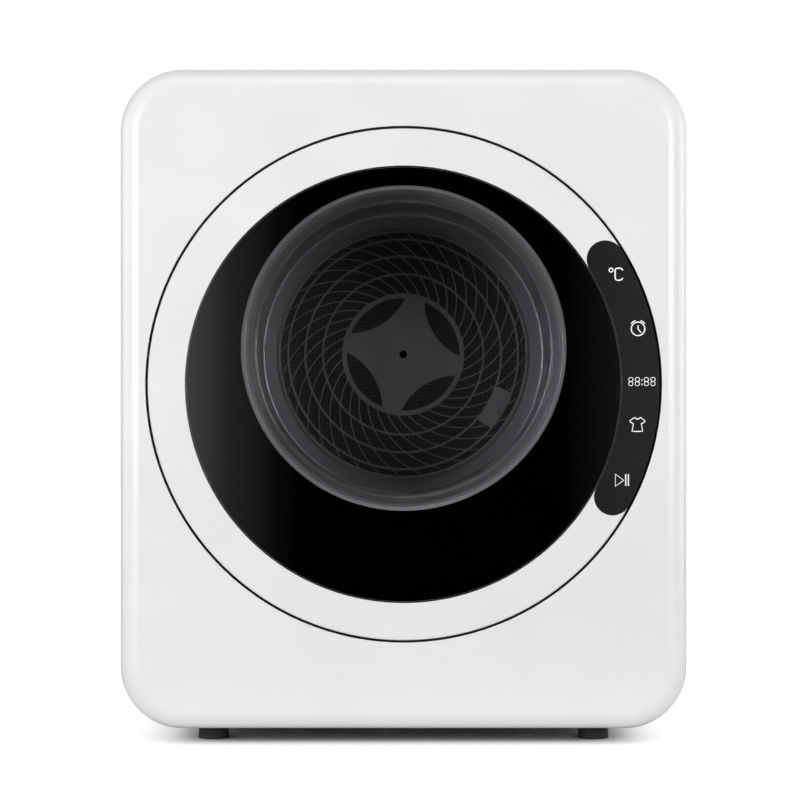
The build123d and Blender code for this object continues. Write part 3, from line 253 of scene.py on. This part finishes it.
# Bare and plated metals: colour and gloss cloud a little from place to place
def metalMaterial(name, look):
    material, tree = newMaterial(name)
    place = addNode(tree, "ShaderNodeTexCoord").outputs["Object"]
    cloud = addNode(tree, "ShaderNodeTexNoise", {
        "Vector": place, "Scale": perMetre(look["cloudSize"]), "Detail": 4.0})
    tint = setRamp(addNode(tree, "ShaderNodeValToRGB", {0: cloud.outputs["Fac"]}),
                   [(noiseLow, colour(look["dark"])), (noiseHigh, colour(look["light"]))])
    shine = addNode(tree, "ShaderNodeMapRange", {
        "Value": cloud.outputs["Fac"], "From Min": noiseLow, "From Max": noiseHigh,
        "To Min": look["roughness"] * metalShine[0], "To Max": look["roughness"] * metalShine[1]})
    shader = addNode(tree, "ShaderNodeBsdfPrincipled", {
        "Base Color": tint.outputs[0], "Roughness": shine.outputs[0], "Metallic": 1.0})
    showSurface(tree, shader.outputs[0])
    return material


# Zinc plate on turned and pressed steel: pale, with a faint cloud
zincPlate = metalMaterial("zincPlate", {
    "dark": "#A9ABAD", "light": "#C2C3C4", "cloudSize": 5, "roughness": 0.34})

# Rolled aluminium of the heater's fins: bright
finAluminium = metalMaterial("finAluminium", {
    "dark": "#B4B6B8", "light": "#D0D1D3", "cloudSize": 8, "roughness": 0.3})

# Blackened steel of the screw in the grille: dark and satin
blackOxide = metalMaterial("blackOxide", {
    "dark": "#161617", "light": "#232324", "cloudSize": 4, "roughness": 0.45})

# Sintered bronze bushes: brown, with a fine grain of pores
sinteredBronze = metalMaterial("sinteredBronze", {
    "dark": "#8A6A3C", "light": "#A98650", "cloudSize": 1.2, "roughness": 0.5})


# Hot-dip galvanised sheet: crystals that meet edge to edge, each with its own tone
def spangledMaterial(name, look):
    material, tree = newMaterial(name)
    place = addNode(tree, "ShaderNodeTexCoord").outputs["Object"]
    cells = addNode(tree, "ShaderNodeTexVoronoi", {
        "Vector": place, "Scale": perMetre(look["spangleSize"])})
    split = addNode(tree, "ShaderNodeSeparateColor", {0: cells.outputs["Color"]})
    tint = setRamp(addNode(tree, "ShaderNodeValToRGB", {0: split.outputs[0]}),
                   [(0.0, colour(look["dark"])), (1.0, colour(look["light"]))])
    shine = addNode(tree, "ShaderNodeMapRange", {
        "Value": split.outputs[1], "To Min": look["smoothest"], "To Max": look["roughest"]})
    shader = addNode(tree, "ShaderNodeBsdfPrincipled", {
        "Base Color": tint.outputs[0], "Roughness": shine.outputs[0],
        "Metallic": look["metallic"]})
    showSurface(tree, shader.outputs[0])
    return material


galvanised = spangledMaterial("galvanised", {
    "spangleSize": 8, "dark": "#8F9193", "light": "#B5B7B9",
    "smoothest": 0.34, "roughest": 0.55, "metallic": 0.9})


# Stainless sheet, rolled and satin brushed round the axle: fine rings that stretch the highlights.
# Nearer the axle than the recess's edge it is pale grey and less metallic: painted light, standing in for the
# light that falls on the recess wall.
def brushedMaterial(name, look):
    material, tree = newMaterial(name)
    rings = ringCoordinates(tree, look["stretch"])
    steelShare = addNode(tree, "ShaderNodeMapRange", {
        "Value": distanceFrom(tree, drumAxis)[1],
        "From Min": millimetres(look["paintedLightEnd"]), "From Max": millimetres(look["steelStart"])})
    lines = addNode(tree, "ShaderNodeTexNoise", {
        "Vector": rings, "Scale": perMetre(look["lineSize"]), "Detail": 5.0, "Roughness": 0.7})
    low, high = look["lineRange"]
    tint = setRamp(addNode(tree, "ShaderNodeValToRGB", {0: lines.outputs["Fac"]}),
                   [(low, colour(look["dark"])), (high, colour(look["light"]))])
    # pale grey inside the recess: painted light on its wall
    paintedLightTint = addNode(tree, "ShaderNodeMix", {
        0: steelShare.outputs[0], 6: colour(look["paintedLightTint"]), 7: tint.outputs[0]}, data_type="RGBA")
    metal = addNode(tree, "ShaderNodeMath", {0: steelShare.outputs[0], 1: look["metallic"]},
                    operation="MULTIPLY")
    shine = addNode(tree, "ShaderNodeMapRange", {
        "Value": lines.outputs["Fac"], "From Min": low, "From Max": high,
        "To Min": look["smoothest"], "To Max": look["roughest"]})
    bump = addNode(tree, "ShaderNodeBump", {
        "Height": lines.outputs["Fac"], "Strength": 0.2,
        "Distance": millimetres(look["lineHeight"])})
    shader = addNode(tree, "ShaderNodeBsdfPrincipled", {
        "Base Color": paintedLightTint.outputs[2], "Roughness": shine.outputs[0], "Metallic": metal.outputs[0],
        "Normal": bump.outputs[0]})
    showSurface(tree, shader.outputs[0])
    return material


# its pale zone inside the recess is painted light on the recess wall
drumSteel = brushedMaterial("drumSteel", {
    "dark": "#8E8F91", "light": "#A6A7A9", "paintedLightTint": "#E2E3E4",
    "paintedLightEnd": 137.4, "steelStart": 137.8,  # distances from the axle
    "lineSize": 1.4, "lineHeight": 0.02, "lineRange": (0.25, 0.75),
    "stretch": 0.004,  # how little a line changes on its way round
    "smoothest": 0.3, "roughest": 0.42, "metallic": 0.9})


# Pressed wool felt: matted fibres a millimetre or two long
def feltMaterial(name, look):
    material, tree = newMaterial(name)
    place = addNode(tree, "ShaderNodeTexCoord").outputs["Object"]
    fibres = addNode(tree, "ShaderNodeTexNoise", {
        "Vector": place, "Scale": perMetre(look["fibreSize"]), "Detail": 8.0, "Roughness": 0.8,
        "Distortion": look["tangle"]})
    tint = setRamp(addNode(tree, "ShaderNodeValToRGB", {0: fibres.outputs["Fac"]}),
                   [(0.25, colour(look["dark"])), (0.75, colour(look["light"]))])
    bump = addNode(tree, "ShaderNodeBump", {
        "Height": fibres.outputs["Fac"], "Strength": 0.8,
        "Distance": millimetres(look["fibreHeight"])})
    shader = addNode(tree, "ShaderNodeBsdfPrincipled", {
        "Base Color": tint.outputs[0], "Roughness": look["roughness"], "Normal": bump.outputs[0],
        "Sheen Weight": look["sheen"]})
    showSurface(tree, shader.outputs[0])
    return material


felt = feltMaterial("felt", {
    "dark": "#8D877C", "light": "#B9B3A6", "fibreSize": 1.5, "fibreHeight": 0.3, "tangle": 1.5,
    "roughness": 0.95, "sheen": 0.3})


# Filter cloth: polyester threads half a millimetre apart, drawn at two so that they show
def clothMaterial(name, look):
    material, tree = newMaterial(name)
    place = addNode(tree, "ShaderNodeTexCoord").outputs["Object"]
    weave = []
    for direction in ("X", "Z"):
        weave.append(addNode(tree, "ShaderNodeTexWave", {
            "Vector": place, "Scale": perMetre(look["threadSpacing"]) / (2 * pi),
            "Distortion": 0.0}, bands_direction=direction).outputs["Fac"])
    both = addNode(tree, "ShaderNodeMath", {0: weave[0], 1: weave[1]}, operation="MAXIMUM")
    tint = setRamp(addNode(tree, "ShaderNodeValToRGB", {0: both.outputs[0]}),
                   [(0.2, colour(look["dark"])), (0.9, colour(look["light"]))])
    bump = addNode(tree, "ShaderNodeBump", {
        "Height": both.outputs[0], "Strength": 0.5,
        "Distance": millimetres(look["threadHeight"])})
    shader = addNode(tree, "ShaderNodeBsdfPrincipled", {
        "Base Color": tint.outputs[0], "Roughness": look["roughness"],
        "Normal": bump.outputs[0]})
    showSurface(tree, shader.outputs[0])
    return material


filterCloth = clothMaterial("filterCloth", {
    "dark": "#4A4A4C", "light": "#666668", "threadSpacing": 2, "threadHeight": 0.2,
    "roughness": 0.85})


# Glass-epoxy board under green solder mask: tracks show as slightly lighter lines
def boardMaterial(name, look):
    material, tree = newMaterial(name)
    place = addNode(tree, "ShaderNodeTexCoord").outputs["Object"]
    tracks = addNode(tree, "ShaderNodeTexBrick", {
        "Vector": place, "Scale": perMetre(look["trackSpacing"]),
        "Mortar Size": look["trackWidth"], "Color1": colour(look["dark"]),
        "Color2": colour(look["light"]), "Mortar": colour(look["track"])})
    shader = addNode(tree, "ShaderNodeBsdfPrincipled", {
        "Base Color": tracks.outputs["Color"], "Roughness": look["roughness"]})
    showSurface(tree, shader.outputs[0])
    return material


circuitBoard = boardMaterial("circuitBoard", {
    "dark": "#0E3B22", "light": "#124528", "track": "#2B6B42", "trackSpacing": 6,
    "trackWidth": 0.02,  # as a share of their spacing
    "roughness": 0.35})


# See-through glass: lamps reach what is behind it. From the start of its rim to the end, tint and
# clearness change.
def glassMaterial(name, look):
    material, tree = newMaterial(name)
    away = distanceFrom(tree, look["axis"])[1]
    start, end = look["rim"]
    rim = addNode(tree, "ShaderNodeMapRange", {"Value": away, "From Min": start, "From Max": end})
    clarity = setRamp(addNode(tree, "ShaderNodeValToRGB", {0: rim.outputs[0]}),
                      greyStops(look["clarity"]))
    tint = setRamp(addNode(tree, "ShaderNodeValToRGB", {0: rim.outputs[0]}),
                   [(0.0, colour(look["tint"])), (1.0, colour(look["rimTint"]))])
    shader = addNode(tree, "ShaderNodeBsdfPrincipled", {
        "Base Color": tint.outputs[0], "Roughness": look["roughness"], "IOR": look["ior"],
        "Transmission Weight": clarity.outputs[0]})
    clear = addNode(tree, "ShaderNodeBsdfTransparent", {"Color": colour(look["shadow"])})
    path = addNode(tree, "ShaderNodeLightPath")
    lamps = addNode(tree, "ShaderNodeMath", {
        0: path.outputs["Is Shadow Ray"], 1: path.outputs["Is Diffuse Ray"]}, operation="MAXIMUM")
    both = addNode(tree, "ShaderNodeMixShader", {
        0: lamps.outputs[0], 1: shader.outputs[0], 2: clear.outputs[0]})
    showSurface(tree, both.outputs[0])
    return material


# Toughened float glass, smoked: dims what is behind it, mirrors the room, black at its edge
doorAxis = (0.0, 0.0, doorMiddle)
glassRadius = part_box("door_glass")[1].x
smokedGlass = glassMaterial("smokedGlass", {
    "tint": "#D4D4D6", "shadow": "#DADADC", "roughness": 0.0, "ior": 1.5, "axis": doorAxis,
    "rim": (glassRadius - millimetres(1.4), glassRadius - millimetres(1.1)),
    "clarity": [(0.0, 1.0), (1.0, 0.0)], "rimTint": "#040404"})

# Moulded clear bowl: its side wall is slightly hazy and catches the light
clearBowl = glassMaterial("clearBowl", {
    "tint": "#F4F5F5", "shadow": "#FAFAFA", "roughness": 0.02, "ior": 1.49, "axis": drumAxis,
    "rim": (millimetres(132), millimetres(142)), "rimTint": "#F4F5F5",
    "clarity": [(0.0, 1.0), (0.25, 0.88), (0.9, 0.88), (1.0, 0.5)]})

# Acrylic touch panel, dark grey with a hard gloss
touchAcrylic = skinMaterial("touchAcrylic", {
    "dark": "#1C1C1D", "light": "#1F1F20", "driftSize": 60, "roughness": 0.08,
    "skinSize": 20, "skinStrength": 0.02, "skinHeight": 0.01})


# White screen print lit from behind: even and slightly bright
def printMaterial(name, look):
    material, tree = newMaterial(name)
    place = addNode(tree, "ShaderNodeTexCoord").outputs["Object"]
    grain = addNode(tree, "ShaderNodeTexNoise", {
        "Vector": place, "Scale": perMetre(look["grainSize"])})
    tint = setRamp(addNode(tree, "ShaderNodeValToRGB", {0: grain.outputs["Fac"]}),
                   [(noiseLow, colour(look["dark"])), (noiseHigh, colour(look["light"]))])
    shader = addNode(tree, "ShaderNodeBsdfPrincipled", {
        "Base Color": tint.outputs[0], "Roughness": look["roughness"],
        "Emission Color": colour(look["glow"]), "Emission Strength": look["glowStrength"]})
    showSurface(tree, shader.outputs[0])
    return material


whitePrint = printMaterial("whitePrint", {
    "dark": "#E2E2E2", "light": "#EEEEEE", "grainSize": 0.6, "roughness": 0.5,
    "glow": "#F4F6F8", "glowStrength": 0.25})

finishes = {
    "white_abs": glossyAbs, "white_paint": powderCoat, "dark_grey_abs": grainedGrey,
    "dark_nylon": blackNylon, "white_nylon": acetal, "black_rubber": rubber, "felt": felt,
    "smoked_glass": smokedGlass, "clear_glass": clearBowl, "black_print": blackPrint,
    "touch_acrylic": touchAcrylic, "circuit_board": circuitBoard, "drum_steel": drumSteel,
    "drum_plastic": drumPlastic, "filter_mesh": filterCloth, "bronze": sinteredBronze,
    "zinc_steel": zincPlate, "black_steel": blackOxide, "galvanised_steel": galvanised,
    "motor_paint": motorEnamel, "fin_aluminium": finAluminium,
}

for part in record["subparts"]:
    node = frame["nodes"][part["node"]]
    node.data.materials.clear()
    node.data.materials.append(finishes[part["material_slot"]])
print("materials set on the frame's pieces")


# Panel symbols: strokes printed on the touch panel. Widths and places are in millimetres, and
# heights are counted from the middle of the door.

symbols = {
    "stroke": 1.05,
    "thickness": 0.08,
    "letterStroke": 1.15,  # these three are shares of the stroke
    "bellStroke": 0.85,
    "shirtStroke": 0.95,
    "ringSteps": 24,
    "degreeRing": (183.6, 101.1, 1.7),
    "letterC": [(194.0, 100.8), (193.1, 102.2), (191.4, 102.8), (189.3, 102.8), (187.8, 102.2),
                (187.2, 100.7), (187.2, 97.4), (187.2, 94.2), (187.8, 92.7), (189.3, 92.1),
                (191.4, 92.1), (193.1, 92.7), (193.9, 94.0)],
    "clock": (207.5, 49.1, 6.0),
    "clockSteps": 48,
    "bellRadius": 7.6,
    "bellStarts": (36, 106),  # degrees
    "bellSweep": 38,
    "bellSteps": 10,
    "clockHands": [(207.4, 52.1), (207.4, 49.2), (210.1, 45.7)],
    "shirt": [(0, -30.8), (1.4, -30.4), (2.7, -29.3), (6.8, -32.5), (5.7, -33.8), (3.5, -34.8),
              (4.7, -41.5), (0, -41.8)],
    "shirtX": 206.9,
    "play": [(187.4, -79.5), (194.8, -84.9), (187.4, -90.4)],
    "bars": [(196.6, -79.5, -90.1), (199.0, -79.5, -90.1)],
}

display = {
    "digits": [201.1, 206.9, 214.9, 220.7],
    "digitWidth": 3.7,
    "digitHeight": 7.4,
    "digitCorner": 0.9,
    "loopGap": 0.12,  # half the gap between a digit's two loops
    "middle": 2.4,
    "stroke": 0.62,
    "colonX": 210.9,
    "colonStep": 1.9,  # from each dot to the middle of the two
    "colonDrop": 0.6,
    "dotLength": 0.7,
    "dotStroke": 1.7,
}


def arcPoints(x, z, radius, start, end, count):
    angles = [radians(start + (end - start) * i / count) for i in range(count + 1)]
    return [(x + radius * cos(a), z + radius * sin(a)) for a in angles]


# A full circle, with its last point one step before its first
def circlePoints(x, z, radius, steps):
    return arcPoints(x, z, radius, 0, 360 - 360 / steps, steps - 1)


# Strokes start as bevelled curves, become a mesh, and are pressed flat onto the panel's face
def printStrokes(name, strokes, face):
    data = bpy.data.curves.new(name, "CURVE")
    data.dimensions = "3D"
    data.bevel_depth = 0.5  # so that a point's radius is its stroke's width
    data.bevel_resolution = 2
    data.use_fill_caps = True
    for points, width, closed in strokes:
        line = data.splines.new("POLY")
        line.points.add(len(points) - 1)
        for point, (x, z) in zip(line.points, points):
            point.co = (x, 0, z, 1)
            point.radius = width
        line.use_cyclic_u = closed
    curve = placeObject(name + "Line", data)
    bpy.context.view_layer.update()
    evaluated = curve.evaluated_get(bpy.context.evaluated_depsgraph_get())
    mesh = bpy.data.meshes.new_from_object(evaluated)
    bpy.data.objects.remove(curve)
    shape = bmesh.new()
    shape.from_mesh(mesh)
    one = millimetres(1)
    flat = symbols["thickness"] / symbols["stroke"]
    bmesh.ops.scale(shape, vec=(one, one * flat, one), verts=shape.verts)
    bmesh.ops.translate(shape, vec=(0, face, doorMiddle), verts=shape.verts)
    bmesh.ops.recalc_face_normals(shape, faces=shape.faces)
    shape.to_mesh(mesh)
    shape.free()
    return placeObject(name, mesh)


# A digit's two loops, one above the other, with cut corners
def digitStrokes(x, z):
    wide = display["digitWidth"] / 2
    tall = display["digitHeight"] / 2
    cut = display["digitCorner"]
    strokes = []
    for middle in (z + tall / 2, z - tall / 2):
        half = tall / 2 - display["loopGap"]
        rightSide = [(wide - cut, half), (wide, half - cut),
                     (wide, cut - half), (wide - cut, -half)]
        leftSide = [(-across, -up) for across, up in rightSide]
        loop = [(x + across, middle + up) for across, up in rightSide + leftSide]
        strokes.append((loop, display["stroke"], True))
    return strokes


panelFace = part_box("touch_panel")[0].y
stroke = symbols["stroke"]
strokes = [
    (circlePoints(*symbols["degreeRing"], symbols["ringSteps"]), stroke, True),
    (symbols["letterC"], stroke * symbols["letterStroke"], False),
    (circlePoints(*symbols["clock"], symbols["clockSteps"]), stroke, True),
    (symbols["clockHands"], stroke, False),
    (symbols["play"], stroke, True),
]
clockX, clockZ = symbols["clock"][:2]
for start in symbols["bellStarts"]:
    bell = arcPoints(clockX, clockZ, symbols["bellRadius"], start, start + symbols["bellSweep"],
                     symbols["bellSteps"])
    strokes.append((bell, stroke * symbols["bellStroke"], False))
for x, high, low in symbols["bars"]:
    strokes.append(([(x, high), (x, low)], stroke, False))
rightHalf = [(symbols["shirtX"] + x, z) for x, z in symbols["shirt"]]
leftHalf = [(symbols["shirtX"] - x, z) for x, z in symbols["shirt"][-2:0:-1]]
strokes.append((rightHalf + leftHalf, stroke * symbols["shirtStroke"], True))
panelSymbols = printStrokes("panelSymbols", strokes, panelFace)

displayStrokes = []
for x in display["digits"]:
    displayStrokes += digitStrokes(x, display["middle"])
dotStart = display["colonX"] - display["dotLength"] / 2
dotEnd = display["colonX"] + display["dotLength"] / 2
for step in (-display["colonStep"], display["colonStep"]):
    z = display["middle"] + step - display["colonDrop"]
    displayStrokes.append(([(dotStart, z), (dotEnd, z)], display["dotStroke"], False))
displayDigits = printStrokes("displayDigits", displayStrokes, panelFace)

for piece in (panelSymbols, displayDigits):
    piece.data.materials.append(whitePrint)
    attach(piece, "door")
print("panel symbols made")


# Floor

floor = {
    "size": 12,
    "footprint": (0.25, 0.2),  # half the machine's width and half its depth
    "bounceReach": 4.0,  # in footprints, what the places of the bounce are shares of
    "bounce": [(0.215, 0.02), (0.24, 0.6), (0.28, 0.6), (0.42, 0.2)],  # light sent back up
    "paintedShadowReach": 0.15,  # of the painted shadow band where the machine stands close above
    "paintedShadowRamp": [(0.025, 0.0), (0.06, 0.08), (0.11, 0.42), (0.2, 0.64), (0.35, 0.84), (0.55, 1.0)],
    "white": 1.15,
    "lit": 0.12,  # how much of the lamps' light the camera sees on it
    "polish": 0.18,
    "roughness": 0.06,
    "mirrorStart": -1.0,  # a mirror sees the floor from here back to the machine
    "mirrorFull": -0.6,
}


def floorMaterial(name):
    material, tree = newMaterial(name)
    path = addNode(tree, "ShaderNodeLightPath")
    place = addNode(tree, "ShaderNodeNewGeometry")
    split = addNode(tree, "ShaderNodeSeparateXYZ", {0: place.outputs["Position"]})
    # the floor under the machine is in its shadow
    halfWidth, halfDepth = floor["footprint"]
    reach = addNode(tree, "ShaderNodeVectorMath", {
        0: place.outputs["Position"], 1: (1 / halfWidth, 1 / halfDepth, 0)},
        operation="MULTIPLY")
    outward = addNode(tree, "ShaderNodeVectorMath", {0: reach.outputs[0]}, operation="ABSOLUTE")
    sides = addNode(tree, "ShaderNodeSeparateXYZ", {0: outward.outputs[0]})
    widest = addNode(tree, "ShaderNodeMath", {0: sides.outputs[0], 1: sides.outputs[1]},
                     operation="MAXIMUM")
    share = addNode(tree, "ShaderNodeMapRange", {
        "Value": widest.outputs[0], "From Max": floor["bounceReach"]})
    strength = setRamp(addNode(tree, "ShaderNodeValToRGB", {0: share.outputs[0]}),
                       greyStops(floor["bounce"]))
    bounce = addNode(tree, "ShaderNodeEmission", {"Color": strength.outputs[0], "Strength": 1.0})
    # white for the camera, with a painted shadow where the machine stands close above
    # painted shadow: occlusion sets how dark the floor is drawn under the machine
    close = addNode(tree, "ShaderNodeAmbientOcclusion", {"Distance": floor["paintedShadowReach"]},
                    samples=24)
    white = setRamp(addNode(tree, "ShaderNodeValToRGB", {0: close.outputs["AO"]}),
                    greyStops(floor["paintedShadowRamp"]))
    seen = addNode(tree, "ShaderNodeEmission", {
        "Color": white.outputs[0], "Strength": floor["white"]})
    lit = addNode(tree, "ShaderNodeBsdfDiffuse", {"Color": grey(floor["lit"])})
    matt = addNode(tree, "ShaderNodeAddShader", {0: seen.outputs[0], 1: lit.outputs[0]})
    gloss = addNode(tree, "ShaderNodeBsdfGlossy", {
        "Color": grey(1), "Roughness": floor["roughness"]})
    polished = addNode(tree, "ShaderNodeMixShader", {
        0: floor["polish"], 1: matt.outputs[0], 2: gloss.outputs[0]})
    # a mirror sees the floor white by the machine, and nothing of it further out in front
    near = addNode(tree, "ShaderNodeMapRange", {
        "Value": split.outputs[1], "From Min": floor["mirrorStart"],
        "From Max": floor["mirrorFull"]})
    nothing = addNode(tree, "ShaderNodeBsdfTransparent")
    mirrored = addNode(tree, "ShaderNodeMixShader", {
        0: near.outputs[0], 1: nothing.outputs[0], 2: bounce.outputs[0]})
    mirror = addNode(tree, "ShaderNodeMath", {
        0: path.outputs["Is Glossy Ray"], 1: path.outputs["Is Transmission Ray"]},
        operation="MAXIMUM")
    other = addNode(tree, "ShaderNodeMixShader", {
        0: mirror.outputs[0], 1: bounce.outputs[0], 2: mirrored.outputs[0]})
    final = addNode(tree, "ShaderNodeMixShader", {
        0: path.outputs["Is Camera Ray"], 1: other.outputs[0], 2: polished.outputs[0]})
    showSurface(tree, final.outputs[0])
    return material


shape = bmesh.new()
bmesh.ops.create_grid(shape, x_segments=1, y_segments=1, size=floor["size"] / 2)
floorMesh = bpy.data.meshes.new("floor")
shape.to_mesh(floorMesh)
shape.free()
floorObject = placeObject("floor", floorMesh)
floorMesh.materials.append(floorMaterial("studioFloor"))
print("floor made")


# The room. The camera sees it white, and only mirrors and glass see the rest: a wall behind the
# machine, and a dark side in front of it with a soft strip to the left and to the right.

room = {
    "ambient": 0.3,  # even light on everything matt
    "leftSlopes": (0.04, 0.1),  # where a strip starts and ends, as a slope sideways
    "leftStrip": [(0.0, 0.0), (0.14, 0.06), (0.46, 0.38), (0.67, 0.99), (0.75, 1.2), (1.0, 1.35)],
    "rightSlopes": (-0.065, -0.12),
    "rightStrip": [(0.0, 0.0), (1.0, 0.4)],
    "wallSpan": (-0.13, 0.13),  # from high and to the left, to low and to the right
    "wallLight": (0.45, 1.0),
}


def setWorld():
    world = bpy.data.worlds.new("studio")
    bpy.context.scene.world = world
    world.use_nodes = True
    tree = world.node_tree
    tree.nodes.clear()
    direction = addNode(tree, "ShaderNodeTexCoord").outputs["Generated"]
    split = addNode(tree, "ShaderNodeSeparateXYZ", {0: direction})
    # sideways slope of the ray, 0 straight out from the door
    slope = addNode(tree, "ShaderNodeMath", {0: split.outputs[0], 1: split.outputs[1]},
                    operation="DIVIDE")
    behind = addNode(tree, "ShaderNodeMath", {0: split.outputs[1], 1: 0.0},
                     operation="GREATER_THAN")
    strips = []
    for side in ("left", "right"):
        start, end = room[side + "Slopes"]
        share = addNode(tree, "ShaderNodeMapRange", {
            "Value": slope.outputs[0], "From Min": start, "From Max": end})
        strips.append(setRamp(addNode(tree, "ShaderNodeValToRGB", {0: share.outputs[0]}),
                              greyStops(room[side + "Strip"])).outputs[0])
    sides = addNode(tree, "ShaderNodeMix", {6: strips[0], 7: strips[1], 0: 1.0},
                    data_type="RGBA", blend_type="ADD")
    across = addNode(tree, "ShaderNodeMath", {0: split.outputs[0], 1: split.outputs[2]},
                     operation="SUBTRACT")
    wall = addNode(tree, "ShaderNodeMapRange", {
        "Value": across.outputs[0], "From Min": room["wallSpan"][0],
        "From Max": room["wallSpan"][1], "To Min": room["wallLight"][0],
        "To Max": room["wallLight"][1]})
    seen = addNode(tree, "ShaderNodeMix", {
        0: behind.outputs[0], 6: sides.outputs[2], 7: wall.outputs[0]}, data_type="RGBA")
    path = addNode(tree, "ShaderNodeLightPath")
    mirrored = addNode(tree, "ShaderNodeMath", {
        0: path.outputs["Is Glossy Ray"], 1: path.outputs["Is Transmission Ray"]},
        operation="MAXIMUM")
    mirror = addNode(tree, "ShaderNodeMix", {
        0: mirrored.outputs[0], 6: grey(room["ambient"]), 7: seen.outputs[2]},
        data_type="RGBA")
    final = addNode(tree, "ShaderNodeMix", {
        0: path.outputs["Is Camera Ray"], 6: mirror.outputs[2], 7: grey(1.0)}, data_type="RGBA")
    background = addNode(tree, "ShaderNodeBackground", {"Color": final.outputs[2], "Strength": 1.0})
    addNode(tree, "ShaderNodeOutputWorld", {"Surface": background.outputs[0]})


setWorld()
print("room made")


# Lamps: square areas, with sizes in metres and power in watts

lamps = {
    "key": {"place": (-1.25, -2.05, 0.6), "aim": (0, -0.2, 0.33), "size": 0.8, "power": 22},
    "fill": {"place": (1.15, -2.15, 0.6), "aim": (0, -0.2, 0.33), "size": 0.8, "power": 18},
    "top": {"place": (0, -1.3, 2.0), "aim": (0, -0.2, 0.4), "size": 0.8, "power": 5},
    "left": {"place": (-2.0, 0.0, 0.5), "aim": (0, 0, 0.3), "size": 1.2, "power": 10},
    "right": {"place": (2.0, 0.0, 0.5), "aim": (0, 0, 0.3), "size": 1.2, "power": 14},
    "back": {"place": (0, 1.4, 1.9), "aim": (0, 0.1, 0.4), "size": 1.8, "power": 3.5},
}

for name, lamp in lamps.items():
    data = bpy.data.lights.new(name, "AREA")
    data.shape = "SQUARE"
    data.size = lamp["size"]
    data.energy = lamp["power"]
    place = Vector(lamp["place"])
    light = placeObject(name, data)
    light.location = place
    light.rotation_euler = (Vector(lamp["aim"]) - place).to_track_quat("-Z", "Y").to_euler()
print("lamps set")

bpy.context.scene.view_settings.view_transform = "Standard"
